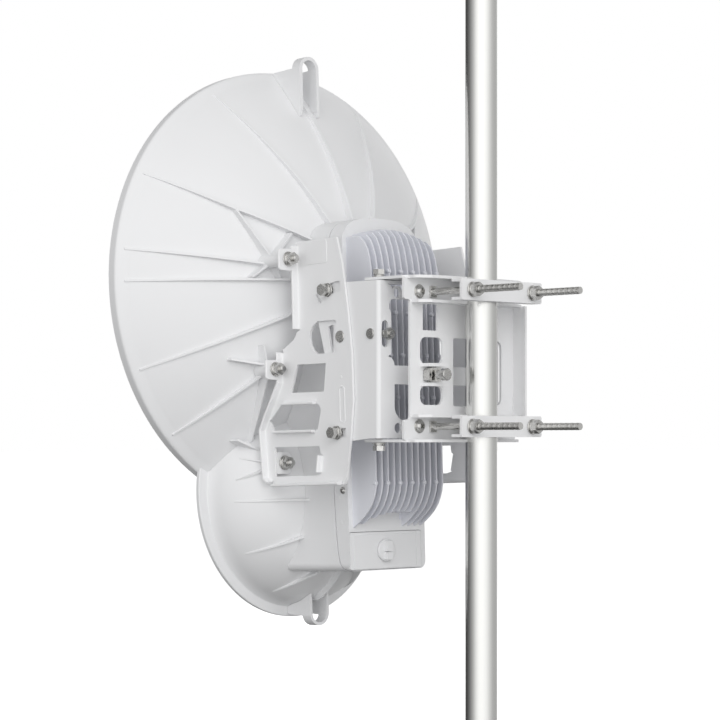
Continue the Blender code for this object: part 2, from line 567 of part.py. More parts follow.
def lug(up, apex, leg_end, rear, tunnel, inner, plate):
    centre, count = apex - up * LUG_HALF, 10
    points = [(LUG_HALF, leg_end)]
    for i in range(count + 1):
        a = math.pi * i / count
        points.append((LUG_HALF * math.cos(a), centre + up * LUG_HALF * math.sin(a)))
    points += [(-LUG_HALF, leg_end), (-inner, leg_end)]
    for i in range(count + 1):
        a = math.pi * (1 - i / count)
        points.append((inner * math.cos(a), centre + up * inner * math.sin(a)))
    points.append((inner, leg_end))
    plates = []
    for side in (-1, 1):
        xs = sorted((side * (LUG_HALF - 0.1), side * (LUG_HALF - 0.1 - LUG_PLATE)))
        plates.append(("UNION", sheet(plate, [], "X", *xs)))
    return sheet(points, [], "Y", rear, tunnel), plates


arch_top, plates = lug(1, 854.4, 793, 255, 268, 10.5, [(255.4, 786), (255.4, 841.8), (301.6, 840.4), (301.6, 824), (285, 786)])
top_lug = combine(arch_top, plates + [("DIFFERENCE", main_space(GAP))])
node("lifting_lug_top", top_lug, PLASTIC, elevation, smooth=True)
arch_foot, plates = lug(-1, 211.5, 243, 259.5, 273, 11.0, [(259.9, 250), (259.9, 221.9), (296, 224.5), (300.5, 232), (300, 256)])
foot_lug = combine(arch_foot, plates + [("DIFFERENCE", small_space(GAP))])
node("lifting_lug_foot", foot_lug, PLASTIC, elevation, smooth=True)

# Feed tubes with their small reflector discs, in front of each dish
FEEDS = (("main_feed", MAIN_Z, MAIN_BACK + 4.2, MAIN_BACK + 135.6, 9.0, 27.0),
         ("small_feed", SMALL_Z, SMALL_BACK + 4.2, SMALL_BACK + 66.0, 8.0, 17.0))
for name, z, back, focus, tube, disc in FEEDS:
    profile = [(0, back + GAP), (tube + 8, back + GAP + (1.6 if z == MAIN_Z else 2.2)), (tube + 8, back + 8), (tube, back + 12), (tube, focus - 14)]
    profile += [(disc * 0.55, focus - 5), (disc, focus), (disc, focus + 3), (disc * 0.7, focus + 6), (0, focus + 7)]
    node(name, revolve(profile, z, 28), PLASTIC, elevation, smooth=True)
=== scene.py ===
import json
import math

import bmesh
import bpy
from bpy.props import FloatProperty, FloatVectorProperty, IntProperty, PointerProperty
from mathutils import Euler, Matrix, Vector
from mathutils.geometry import delaunay_2d_cdt

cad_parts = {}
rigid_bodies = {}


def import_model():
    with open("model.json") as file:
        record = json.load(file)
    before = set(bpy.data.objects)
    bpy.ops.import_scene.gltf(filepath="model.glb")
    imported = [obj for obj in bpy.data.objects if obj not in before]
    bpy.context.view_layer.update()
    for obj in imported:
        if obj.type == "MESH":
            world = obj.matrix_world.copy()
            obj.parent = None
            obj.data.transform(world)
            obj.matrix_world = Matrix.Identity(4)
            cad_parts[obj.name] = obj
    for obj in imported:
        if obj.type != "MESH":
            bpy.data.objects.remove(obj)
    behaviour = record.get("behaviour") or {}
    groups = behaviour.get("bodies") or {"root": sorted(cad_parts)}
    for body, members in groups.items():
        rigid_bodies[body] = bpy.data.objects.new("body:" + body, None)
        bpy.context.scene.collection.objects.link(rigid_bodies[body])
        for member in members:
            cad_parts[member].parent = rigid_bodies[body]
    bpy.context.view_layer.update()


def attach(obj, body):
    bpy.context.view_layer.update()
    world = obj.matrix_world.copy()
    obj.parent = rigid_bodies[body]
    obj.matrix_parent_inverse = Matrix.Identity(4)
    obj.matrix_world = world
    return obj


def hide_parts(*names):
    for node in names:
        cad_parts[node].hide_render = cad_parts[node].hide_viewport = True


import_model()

bl_info = {
    "name": "Wireless bridge dish antenna",
    "version": (1, 0, 0),
    "blender": (4, 5, 0),
    "location": "3D View > Sidebar > Antenna",
    "description": "Builds a two-dish bridge antenna on a pole clamp, piece by piece",
    "category": "Add Mesh",
}

MM = 0.001

# Sizes in mm in the level antenna frame, most of them as the solids have them
POLE_R, POLE_WALL, POLE_TOP = 16.85, 3.0, 1000.0
CLAMP_Z, ROD_DZ, ROD_X, ROD_R = 500.0, 70.6, 46.0, 3.9
JAW_Y, JAW_HALF_X, JAW_HALF_Z, JAW_DEPTH = -30.0, 61.5, 11.0, 15.0
SHEET = 3.0
WALL_Y, WALL_FRONT = 27.5, 30.5
SCREW_X, SCREW_Z = -51.2, 483.5
PLATE_TOP, PLATE_BOTTOM = 586.5, 413.0
AZIMUTH_X, AZIMUTH_Y = -70.0, 82.4
PIVOT_Y, PIVOT_Z, TILT_DEG = 113.9, 524.9, -2.05
U_HALF_X, U_REAR_Y, U_TOP, U_BOTTOM = 93.5, 59.0, 582.5, 417.0
ARM_X = 97.0
MAIN_Z, SMALL_Z = 592.6, 362.4
MAIN_BACK, MAIN_FOCUS4, SMALL_BACK, SMALL_FOCUS4 = 189.0, 542.4, 199.0, 263.0
COVER_REAR, COVER_FRONT, COVER_HALF_X, COVER_TOP, COVER_FOOT = 148.0, 172.0, 58.5, 659.6, 274.3
FIN_REAR, FIN_HALF_X = 111.0, 52.0
# Studs as label, x, z and y, and lock bolts as label, y and z
STUDS = (("upper", 111.0, 612.0, 177.0), ("middle", 108.0, 495.0, 205.0), ("lower", 86.0, 394.0, 218.2))
LOCKS = (("upper", 132.5, 574.8), ("lower", 117.5, 423.0))
SIDES = (("left", -1), ("right", 1))
OUTWARD = {-1: "-X", 1: "+X"}
DISH_GAP = 0.3

# The material of each slot
MATERIAL_NAMES = {"bracket_paint": "bracket_powder_coat", "dish_plastic": "moulded_dish_plastic",
                  "feed_plastic": "feed_plastic", "cover_casting": "painted_casting",
                  "hardware": "zinc_plate", "tube": "satin_tube"}


# Sizes and colours that can be changed from the sidebar
class DishSizes(bpy.types.PropertyGroup):
    segments: IntProperty(name="Segments", description="Facets round each reflector",
                          default=192, min=48, max=384)
    rib_thickness: FloatProperty(name="Rib thickness", description="Thickness of the ribs on the backs",
                                 default=2.6 * MM, min=MM, max=0.005, unit="LENGTH")


class CoverSizes(bpy.types.PropertyGroup):
    fin_count: IntProperty(name="Fins", description="Cooling fins on the cover", default=12, min=2, max=30)
    fin_thickness: FloatProperty(name="Fin thickness", description="Thickness of one fin",
                                 default=2.0 * MM, min=0.001, max=0.005, unit="LENGTH")


class ClampSizes(bpy.types.PropertyGroup):
    thread_pitch: FloatProperty(name="Thread pitch", description="Pitch of the clamp rods' thread",
                                default=1.25 * MM, min=0.0005, max=0.003, unit="LENGTH")


class Finishes(bpy.types.PropertyGroup):
    paint: FloatVectorProperty(name="Bracket paint", description="Powder coat of the brackets and arms",
                               default=(0.89, 0.892, 0.90), min=0, max=1, size=3, subtype="COLOR")
    plastic: FloatVectorProperty(name="Dish plastic", description="Moulded plastic of the dishes and housing",
                                 default=(0.838, 0.841, 0.85), min=0, max=1, size=3, subtype="COLOR")
    casting: FloatVectorProperty(name="Cover paint", description="Paint of the finned casting",
                                 default=(0.79, 0.80, 0.85), min=0, max=1, size=3, subtype="COLOR")
    zinc: FloatVectorProperty(name="Zinc", description="Plated bolts, nuts and rods",
                              default=(0.56, 0.555, 0.54), min=0, max=1, size=3, subtype="COLOR")
    tube: FloatVectorProperty(name="Tube", description="Satin metal of the pole",
                              default=(0.64, 0.64, 0.625), min=0, max=1, size=3, subtype="COLOR")


class AntennaSettings(bpy.types.PropertyGroup):
    dish: PointerProperty(type=DishSizes)
    cover: PointerProperty(type=CoverSizes)
    clamp: PointerProperty(type=ClampSizes)
    finish: PointerProperty(type=Finishes)


# Shader and geometry trees
class Tree:
    """A node tree that is built node by node."""

    def __init__(self, tree):
        self.tree = tree

    def add(self, kind, inputs=None, **settings):
        made = self.tree.nodes.new(kind)
        for key, value in settings.items():
            setattr(made, key, value)
        for key, value in (inputs or {}).items():
            self.give(made.inputs[key], value)
        return made

    def give(self, socket, value):
        if isinstance(value, bpy.types.NodeSocket):
            self.tree.links.new(value, socket)
        else:
            socket.default_value = value

    def out(self, kind, inputs=None, **settings):
        return self.add(kind, inputs, **settings).outputs[0]

    def parts(self, vector):
        return self.add("ShaderNodeSeparateXYZ", {0: vector}).outputs


class Shader(Tree):
    """A slot's material with one Principled shader."""

    def __init__(self, slot):
        mat = bpy.data.materials.new(MATERIAL_NAMES[slot])
        mat.use_nodes = True
        super().__init__(mat.node_tree)
        self.inputs = self.tree.nodes["Principled BSDF"].inputs
        self.coords = self.add("ShaderNodeTexCoord").outputs["Object"]

    def mapped(self, scale):
        return self.out("ShaderNodeMapping", {"Vector": self.coords, "Scale": scale})

    def noise(self, scale, detail, rough=0.5, vector=None):
        inputs = {"Vector": vector or self.coords, "Scale": scale, "Detail": detail, "Roughness": rough}
        return self.out("ShaderNodeTexNoise", inputs)

    def spread(self, value, low, high, start=0.3, end=0.7):
        inputs = {"Value": value, "From Min": start, "From Max": end, "To Min": low, "To Max": high}
        return self.out("ShaderNodeMapRange", inputs)

    def mixed(self, factor, one, two):
        node = self.add("ShaderNodeMix", data_type="RGBA")
        for index, value in ((0, factor), (6, one), (7, two)):
            self.give(node.inputs[index], value)
        return node.outputs[2]

    def bump(self, height, strength, distance, normal=None):
        inputs = {"Height": height, "Strength": strength, "Distance": distance}
        if normal is not None:
            inputs["Normal"] = normal
        return self.out("ShaderNodeBump", inputs)

    def worn_edges(self):
        point = self.add("ShaderNodeNewGeometry").outputs["Pointiness"]
        return self.spread(point, 0.0, 1.0, 0.52, 0.60)


def shade(colour, factor):
    return (*[c * factor for c in colour], 1.0)


def coated(slot, colour, roughness, peel_scale, peel, mottling):
    """Paint or moulded plastic: slight mottling and a fine skin."""
    s = Shader(slot)
    broad = s.spread(s.noise(9.0, 4.0), 0.0, 1.0)
    s.give(s.inputs["Base Color"], s.mixed(broad, shade(colour, 1.0 - mottling), shade(colour, 1.0)))
    s.give(s.inputs["Roughness"], s.spread(s.noise(60.0, 5.0), roughness - 0.05, roughness + 0.05))
    fine = s.bump(s.noise(peel_scale, 2.0), peel, 0.0001)
    s.give(s.inputs["Normal"], s.bump(s.noise(35.0, 2.0), 0.03, 0.0004, fine))


def plated(slot, colour, roughness, clouds, grain_depth, stretch=(1.0, 1.0, 1.0)):
    """Zinc plate or satin tube: cloudy plating, fine scratches along the stretch."""
    s = Shader(slot)
    s.give(s.inputs["Metallic"], 1.0)
    vector = s.mapped(stretch)
    cloud = s.spread(s.noise(70.0, 4.0, 0.6), 0.0, 1.0)
    base = s.mixed(cloud, shade(colour, 1.0 - clouds), shade(colour, 1.0))
    s.give(s.inputs["Base Color"], s.mixed(s.worn_edges(), base, shade(colour, 1.25)))
    grain = s.noise(900.0, 3.0, 0.6, vector)
    s.give(s.inputs["Roughness"], s.spread(grain, roughness - 0.03, roughness + 0.03))
    s.give(s.inputs["Normal"], s.bump(grain, grain_depth, 0.0001))


def finish_of(slot):
    mat = bpy.data.materials.get(MATERIAL_NAMES[slot])
    if mat is None:
        raise RuntimeError("the finishes have to be made first")
    return mat


# Shapes as bmesh, in mm
def mesh_of(verts, faces):
    bm = bmesh.new()
    made = [bm.verts.new(v) for v in verts]
    for face in faces:
        bm.faces.new([made[i] for i in face])
    return bm


def outward(bm):
    bmesh.ops.recalc_face_normals(bm, faces=bm.faces)
    return bm


def place(axis, a, b, depth):
    return {"X": (depth, a, b), "Y": (a, depth, b), "Z": (a, b, depth)}[axis]


def inside(point, loop):
    x, y = point
    hit = False
    for i in range(len(loop)):
        (x1, y1), (x2, y2) = loop[i - 1], loop[i]
        if (y1 > y) != (y2 > y) and x < x1 + (y - y1) * (x2 - x1) / (y2 - y1):
            hit = not hit
    return hit


def filled(loops, lines=()):
    """The flat area inside the first loop and outside the rest, as points and faces."""
    points, edges = [], []
    for loop in loops:
        start = len(points)
        points += [Vector(p) for p in loop]
        edges += [(start + i, start + (i + 1) % len(loop)) for i in range(len(loop))]
    for line in lines:
        start = len(points)
        points += [Vector(p) for p in line]
        edges += [(start + i, start + i + 1) for i in range(len(line) - 1)]
    flat, _, faces, _, _, _ = delaunay_2d_cdt(points, edges, [], 0, 1e-4)
    kept = []
    for face in faces:
        mid = sum((flat[i] for i in face), Vector((0, 0))) / len(face)
        if inside(mid, loops[0]) and not any(inside(mid, hole) for hole in loops[1:]):
            kept.append(tuple(face))
    return flat, kept


def walls_of(faces):
    """The border edges of flat faces, as ordered pairs."""
    sides = set()
    for face in faces:
        for i in range(len(face)):
            sides.add((face[i - 1], face[i]))
    return [(a, b) for a, b in sides if (b, a) not in sides]


def welded(bm):
    bmesh.ops.remove_doubles(bm, verts=bm.verts, dist=0.0008)
    bmesh.ops.dissolve_limit(bm, angle_limit=math.radians(0.3), verts=bm.verts, edges=bm.edges)
    return bm


def cleaned(bm):
    loose = [v for v in bm.verts if not v.link_faces]
    bmesh.ops.delete(bm, geom=loose, context="VERTS")
    return outward(welded(bm))


def pulled(verts, kept, n):
    """Two layers of n points each, joined by walls, from the kept faces of the first."""
    back = [tuple(i + n for i in reversed(f)) for f in kept]
    walls = [(a, b, b + n, a + n) for a, b in walls_of(kept)]
    return cleaned(mesh_of(verts, kept + back + walls))


def sheet(outline, holes, axis, low, high):
    """A flat plate with holes, pulled along an axis."""
    flat, kept = filled([list(outline)] + [list(h) for h in holes])
    verts = [place(axis, p[0], p[1], d) for d in (low, high) for p in flat]
    return pulled(verts, kept, len(flat))


def box(x0, x1, y0, y1, z0, z1):
    return sheet([(x0, y0), (x1, y0), (x1, y1), (x0, y1)], [], "Z", z0, z1)


def circle(cx, cy, r, count=32, turn=0.0):
    step = 2 * math.pi / count
    return [(cx + r * math.cos(turn + i * step), cy + r * math.sin(turn + i * step)) for i in range(count)]


def arc(cx, cy, r, start, turn, count):
    """Points round a centre, from a start angle on through a turn, both in degrees."""
    angles = [math.radians(start + turn * i / count) for i in range(count + 1)]
    return [(cx + r * math.cos(a), cy + r * math.sin(a)) for a in angles]


def rounded(x0, x1, y0, y1, r):
    points = []
    left, right, low, high = x0 + r, x1 - r, y0 + r, y1 - r
    for cx, cy, start in ((right, high, 0), (left, high, 90), (left, low, 180), (right, low, 270)):
        points += arc(cx, cy, r, start, 90, 7)
    return points


def slab(x0, x1, z0, z1, r, low, high, holes=()):
    """A plate with rounded corners that lies across Y."""
    return sheet(rounded(x0, x1, z0, z1, r), holes, "Y", low, high)


def eased(points, radius):
    """A loop of points (a, b, ...) with its corners rounded; what follows a and b stays with them."""
    out, count = [], 5
    for i, here in enumerate(points):
        p = Vector(here[:2])
        one = Vector(points[i - 1][:2]) - p
        two = Vector(points[(i + 1) % len(points)][:2]) - p
        turn = math.pi - one.angle(two)
        if turn < 0.05:
            out.append(tuple(here))
            continue
        reach = min(radius * math.tan(turn / 2), 0.45 * one.length, 0.45 * two.length)
        start, end = p + one.normalized() * reach, p + two.normalized() * reach
        for k in range(count + 1):
            t = k / count
            q = start * (1 - t) ** 2 + p * 2 * t * (1 - t) + end * t * t
            out.append((q.x, q.y, *here[2:]))
    return out


def rod(axis, a, b, r, low, high, count=32):
    return sheet(circle(a, b, r, count), [], axis, low, high)


def revolve(profile, cz, count):
    """A closed profile of (radius, y) turned round the line x=0, z=cz."""
    verts, faces, ring = [], [], []
    for r, y in profile:
        if r < 1e-6:
            ring.append([len(verts)] * count)
            verts.append((0, y, cz))
        else:
            ring.append(list(range(len(verts), len(verts) + count)))
            for i in range(count):
                a = 2 * math.pi * i / count
                verts.append((r * math.cos(a), y, cz + r * math.sin(a)))
    for k in range(len(profile)):
        one, two = ring[k - 1], ring[k]
        for i in range(count):
            j = (i + 1) % count
            face = []
            for v in (one[i], one[j], two[j], two[i]):
                if v not in face:
                    face.append(v)
            if len(face) > 2:
                faces.append(tuple(face))
    return outward(mesh_of(verts, faces))


# How a shape that was made along +Y is turned to point another way
AIMS = {"+Y": (0, 0, 0), "-Y": (math.pi, 0, 0), "+Z": (math.pi / 2, 0, 0), "-Z": (-math.pi / 2, 0, 0),
        "+X": (0, 0, -math.pi / 2), "-X": (0, 0, math.pi / 2)}


def aimed(bm, aim, at):
    turn = Euler(AIMS[aim]).to_matrix().to_4x4()
    bmesh.ops.transform(bm, matrix=Matrix.Translation(at) @ turn, verts=bm.verts)
    return bm


def moved(bm, x=0.0, y=0.0, z=0.0):
    bmesh.ops.translate(bm, verts=bm.verts, vec=(x, y, z))
    return bm


def mesh_from(bm, name):
    mesh = bpy.data.meshes.new(name)
    bm.to_mesh(mesh)
    bm.free()
    return mesh


def linked(name, data):
    obj = bpy.data.objects.new(name, data)
    bpy.context.scene.collection.objects.link(obj)
    return obj


def temporary(bm):
    return linked("tool", mesh_from(bm, "tool"))


def taken(obj):
    """The shape of an object, which is removed."""
    bm = bmesh.new()
    bm.from_mesh(obj.data)
    bpy.data.objects.remove(obj, do_unlink=True)
    return bm


def baked(obj):
    """Gives an object its evaluated mesh, its modifiers gone."""
    graph = bpy.context.evaluated_depsgraph_get()
    mesh = bpy.data.meshes.new_from_object(obj.evaluated_get(graph))
    obj.modifiers.clear()
    obj.data = mesh


def combine(base, adds=(), cuts=(), within=()):
    """A shape with others joined to it, then others cut from it, and kept only within the last ones."""
    body = temporary(base)
    steps = [("UNION", shape) for shape in adds] + [("DIFFERENCE", shape) for shape in cuts]
    steps += [("INTERSECT", shape) for shape in within]
    for operation, shape in steps:
        tool = temporary(shape)
        change = body.modifiers.new("change", "BOOLEAN")
        change.operation, change.object, change.solver = operation, tool, "EXACT"
        baked(body)
        bpy.data.objects.remove(tool, do_unlink=True)
    return welded(taken(body))


def joined(shapes):
    """Several shapes as one, each still a closed body of its own."""
    whole = shapes[0]
    for shape in shapes[1:]:
        mesh = mesh_from(shape, "part")
        whole.from_mesh(mesh)
        bpy.data.meshes.remove(mesh)
    return whole


TILT = Matrix.Translation((0, PIVOT_Y, PIVOT_Z)) @ Matrix.Rotation(math.radians(TILT_DEG), 4, "X") \
    @ Matrix.Translation((0, -PIVOT_Y, -PIVOT_Z))
BODY_OF_GROUP = {"mount": "pole_mount", "bracket": "azimuth_bracket", "antenna": "antenna"}


def piece(name, bm, slot, group, replaces=(), edge=0.5):
    """Finishes a shape as one piece of the antenna: placed, eased, painted, and set on its body."""
    if group == "antenna":
        bmesh.ops.transform(bm, matrix=TILT, verts=bm.verts)
    bmesh.ops.scale(bm, verts=bm.verts, vec=(MM, MM, MM))
    mesh = mesh_from(bm, name)
    mesh.materials.append(finish_of(slot))
    obj = linked(name, mesh)
    if edge > 0:
        bevel = obj.modifiers.new("edge", "BEVEL")
        bevel.width, bevel.segments, bevel.use_clamp_overlap = edge * MM, 2, True
        bevel.limit_method, bevel.angle_limit = "ANGLE", math.radians(30)
    baked(obj)
    obj.data.polygons.foreach_set("use_smooth", [True] * len(obj.data.polygons))
    obj.data.set_sharp_from_angle(angle=math.radians(38))
    obj.modifiers.new("normals", "WEIGHTED_NORMAL").keep_sharp = True
    baked(obj)
    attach(obj, BODY_OF_GROUP[group])
    if replaces:
        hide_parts(*replaces)


class Rule(Tree):
    """A geometry tree in mm with named inputs, ending in real meshes with a material."""

    def __init__(self, name, inputs):
        super().__init__(bpy.data.node_groups.new(name, "GeometryNodeTree"))
        sockets = self.tree.interface
        sockets.new_socket("Geometry", in_out="INPUT", socket_type="NodeSocketGeometry")
        sockets.new_socket("Geometry", in_out="OUTPUT", socket_type="NodeSocketGeometry")
        self.ids = {}
        for label, kind in dict(inputs, Material="NodeSocketMaterial").items():
            self.ids[label] = sockets.new_socket(label, in_out="INPUT", socket_type=kind).identifier
        self.start = self.tree.nodes.new("NodeGroupInput")
        self.shape = self.start.outputs["Geometry"]

    def value(self, label):
        return self.start.outputs[label]

    def math(self, operation, one, two=0.0, clamp=False):
        return self.out("ShaderNodeMath", {0: one, 1: two}, operation=operation, use_clamp=clamp)

    def vector(self, x=0.0, y=0.0, z=0.0):
        return self.out("ShaderNodeCombineXYZ", {0: x, 1: y, 2: z})

    def close(self, geometry):
        real = self.out("GeometryNodeRealizeInstances", {"Geometry": geometry})
        painted = self.out("GeometryNodeSetMaterial", {"Geometry": real, "Material": self.value("Material")})
        self.add("NodeGroupOutput", {"Geometry": painted})
        return self

    def run(self, name, mesh, slot, values):
        """The tree's result on a mesh, as a shape in mm."""
        obj = linked(name, mesh)
        change = obj.modifiers.new("rule", "NODES")
        change.node_group = self.tree
        for label, value in dict(values, Material=finish_of(slot)).items():
            change[self.ids[label]] = value
        baked(obj)
        return taken(obj)


RULES = {}


def rule_of(name, make):
    """A tree that is built once and used again."""
    if name not in RULES:
        RULES[name] = make(name)
    return RULES[name]


def turned_rule(name):
    """Turns the profile's points round a line along Y, one grid column for each facet."""
    rule = Rule(name, {"Segments": "NodeSocketInt", "Points": "NodeSocketInt", "Height": "NodeSocketFloat"})
    segments, points = rule.value("Segments"), rule.value("Points")
    size = {"Vertices X": rule.math("ADD", segments, 1.0), "Vertices Y": points}
    grid = rule.out("GeometryNodeMeshGrid", size)
    index = rule.out("GeometryNodeInputIndex")
    row = rule.math("FLOORED_MODULO", index, points)
    column = rule.math("FLOOR", rule.math("DIVIDE", rule.math("ADD", index, 0.5), points))
    wanted = {"Geometry": rule.shape, "Value": rule.out("GeometryNodeInputPosition"), "Index": row}
    picked = rule.out("GeometryNodeSampleIndex", wanted, data_type="FLOAT_VECTOR", domain="POINT")
    radius, y, _ = rule.parts(picked)
    angle = rule.math("MULTIPLY", rule.math("DIVIDE", column, segments), 2 * math.pi)
    x = rule.math("MULTIPLY", radius, rule.math("COSINE", angle))
    z = rule.math("ADD", rule.math("MULTIPLY", radius, rule.math("SINE", angle)), rule.value("Height"))
    round_body = rule.out("GeometryNodeSetPosition", {"Geometry": grid, "Position": rule.vector(x, y, z)})
    return rule.close(rule.out("GeometryNodeMergeByDistance", {"Geometry": round_body, "Distance": 0.002}))


def turned(name, profile, centre, segments, slot):
    """A closed profile of (radius, y) as a turned body."""
    mesh = bpy.data.meshes.new(name)
    mesh.from_pydata([(r, y, 0) for r, y in [*profile, profile[0]]], [], [])
    rule = rule_of("turned_profile", turned_rule)
    bm = rule.run(name, mesh, slot, {"Segments": segments, "Points": len(profile) + 1, "Height": centre})
    return outward(bm)


def ribs_rule(name):
    """Pulls thin walls out of lines that lie in a reflector's back, as tall as each point says."""
    rule = Rule(name, {"Thickness": "NodeSocketFloat"})
    thickness = rule.value("Thickness")
    tall = rule.out("GeometryNodeInputNamedAttribute", {"Name": "tall"}, data_type="FLOAT")
    reach = rule.vector(0.0, rule.math("MULTIPLY", tall, -1.0), 0.0)
    lines = {"Mesh": rule.shape, "Offset": reach, "Offset Scale": 1.0}
    wall = rule.out("GeometryNodeExtrudeMesh", lines, mode="EDGES")
    normal = rule.out("GeometryNodeInputNormal")
    half = rule.math("MULTIPLY", thickness, -0.5)
    back = rule.out("ShaderNodeVectorMath", {0: normal, 3: half}, operation="SCALE")
    centred = rule.out("GeometryNodeSetPosition", {"Geometry": wall, "Offset": back})
    faces = {"Mesh": centred, "Offset Scale": thickness, "Individual": False}
    thick = rule.out("GeometryNodeExtrudeMesh", faces, mode="FACES")
    other = rule.out("GeometryNodeFlipFaces", {"Mesh": centred})
    both = rule.add("GeometryNodeJoinGeometry")
    for side in (thick, other):
        rule.give(both.inputs[0], side)
    whole = {"Geometry": both.outputs[0], "Distance": 0.01}
    return rule.close(rule.out("GeometryNodeMergeByDistance", whole))


def ribs(name, lines, slot, thickness):
    """Ribs from lines of (x, y, z, height) points."""
    points, edges, heights = [], [], []
    for line in lines:
        start = len(points)
        points += [p[:3] for p in line]
        heights += [p[3] for p in line]
        edges += [(start + i, start + i + 1) for i in range(len(line) - 1)]
    mesh = bpy.data.meshes.new(name)
    mesh.from_pydata(points, edges, [])
    mesh.attributes.new("tall", "FLOAT", "POINT").data.foreach_set("value", heights)
    return outward(rule_of("pulled_ribs", ribs_rule).run(name, mesh, slot, {"Thickness": thickness}))


def row_rule(name):
    """Repeats the shape along X and lifts its top to follow the arch of the cover."""
    measures = dict.fromkeys(("Pitch", "Rise", "Rise from", "Half width"), "NodeSocketFloat")
    rule = Rule(name, {"Count": "NodeSocketInt", **measures})
    count, pitch = rule.value("Count"), rule.value("Pitch")
    width = rule.math("MULTIPLY", rule.math("SUBTRACT", count, 1.0), pitch)
    first = rule.vector(rule.math("MULTIPLY", width, -0.5))
    spots = {"Count": count, "Start Location": first, "Offset": rule.vector(pitch)}
    line = rule.out("GeometryNodeMeshLine", spots, mode="OFFSET", count_mode="TOTAL")
    row = rule.out("GeometryNodeInstanceOnPoints", {"Points": line, "Instance": rule.shape})
    real = rule.out("GeometryNodeRealizeInstances", {"Geometry": row})
    x, _, z = rule.parts(rule.out("GeometryNodeInputPosition"))
    across = rule.math("DIVIDE", x, rule.value("Half width"))
    dome = rule.math("SUBTRACT", 1.0, rule.math("MULTIPLY", across, across))
    share = rule.math("DIVIDE", rule.math("SUBTRACT", z, rule.value("Rise from")), 20.0, clamp=True)
    lift = rule.math("MULTIPLY", rule.math("MULTIPLY", dome, share), rule.value("Rise"))
    return rule.close(rule.out("GeometryNodeSetPosition", {"Geometry": real, "Offset": rule.vector(z=lift)}))


def copies_rule(name):
    """Sets a copy of a small shape on each point, turned as the point says."""
    rule = Rule(name, {"Shape": "NodeSocketObject"})
    aim = rule.out("GeometryNodeInputNamedAttribute", {"Name": "aim"}, data_type="FLOAT_VECTOR")
    turn = rule.out("FunctionNodeEulerToRotation", {"Euler": aim})
    shape = rule.add("GeometryNodeObjectInfo", {"Object": rule.value("Shape")}, transform_space="ORIGINAL")
    spots = {"Points": rule.shape, "Instance": shape.outputs["Geometry"], "Rotation": turn}
    return rule.close(rule.out("GeometryNodeInstanceOnPoints", spots))


def copies(name, shape, places, slot, group, replaces=()):
    """A piece of copies of a shape made along +Y, at places of (x, y, z, aim, turn in degrees)."""
    mesh = bpy.data.meshes.new(name)
    mesh.from_pydata([p[:3] for p in places], [], [])
    turns = []
    for _, _, _, aim, spin in places:
        turn = Euler(AIMS[aim]).to_matrix() @ Matrix.Rotation(math.radians(spin), 3, "Y")
        turns += list(turn.to_euler())
    mesh.attributes.new("aim", "FLOAT_VECTOR", "POINT").data.foreach_set("vector", turns)
    tool = temporary(shape)
    bm = rule_of("set_copies", copies_rule).run(name, mesh, slot, {"Shape": tool})
    bpy.data.objects.remove(tool, do_unlink=True)
    piece(name, bm, slot, group, replaces, edge=0)


def thread_rule(name):
    """A thread: one small three-sided ridge along a spiral."""
    rule = Rule(name, dict.fromkeys(("Radius", "Pitch", "Turns"), "NodeSocketFloat"))
    radius, pitch, turns = (rule.value(label) for label in ("Radius", "Pitch", "Turns"))
    height = rule.math("MULTIPLY", pitch, turns)
    coil = {"Resolution": 20, "Rotations": turns, "Start Radius": radius, "End Radius": radius,
            "Height": height}
    section = {"Resolution": 3, "Radius": rule.math("MULTIPLY", pitch, 0.31)}
    ridge = {"Curve": rule.out("GeometryNodeCurveSpiral", coil), "Fill Caps": True,
             "Profile Curve": rule.out("GeometryNodeCurvePrimitiveCircle", section, mode="RADIUS")}
    return rule.close(rule.out("GeometryNodeCurveToMesh", ridge))


def thread(radius, pitch, length):
    """A thread's ridge along +Y from 0 to its length."""
    mesh = bpy.data.meshes.new("thread")
    values = {"Radius": radius, "Pitch": pitch, "Turns": length / pitch}
    bm = rule_of("cut_thread", thread_rule).run("thread", mesh, "hardware", values)
    bmesh.ops.rotate(bm, verts=bm.verts, matrix=Matrix.Rotation(math.radians(-90), 3, "X"))
    return outward(bm)


# Small hardware, made along +Y from y=0 and set in place as copies
def hexagon(radius, height, bore=0.0):
    """A hexagon with turned chamfers, its flats along Y."""
    holes = [circle(0, 0, bore, 24)] if bore else []
    body = sheet(circle(0, 0, radius, 6, math.radians(30)), holes, "Y", 0, height)
    face, slope, over = radius * 0.87, radius * 0.07, 0.02
    cone = [(0, -over), (face, -over), (radius + 1, slope), (radius + 1, height - slope),
            (face, height + over), (0, height + over)]
    return combine(body, within=[revolve(cone, 0, 48)])


def disc(radius, low, high, bore=0.0, ease=0.35):
    """A washer or a plain head with eased edges."""
    profile = [(radius - ease, low), (radius, low + ease), (radius, high - ease), (radius - ease, high)]
    if bore:
        profile += [(bore + 0.2, high), (bore, high - 0.2), (bore, low + 0.2), (bore + 0.2, low)]
    else:
        profile += [(0, high), (0, low)]
    return revolve(profile, 0, 48)


def shank(radius, low, high, ease=0.8):
    """A round bar with a chamfered tip at its high end."""
    return revolve([(0, low), (radius, low), (radius, high - ease), (radius - ease, high), (0, high)], 0, 32)


def split_washer(radius, bore, low, high):
    """A spring washer with a slanting cut."""
    cut = box(-0.6, 0.6, low - 1, high + 1, bore - 1, radius + 1)
    slant = Matrix.Rotation(math.radians(20), 3, "Y")
    bmesh.ops.rotate(cut, verts=cut.verts, matrix=slant, cent=(0, (low + high) / 2, 0))
    return combine(disc(radius, low, high, bore, 0.2), cuts=[cut])


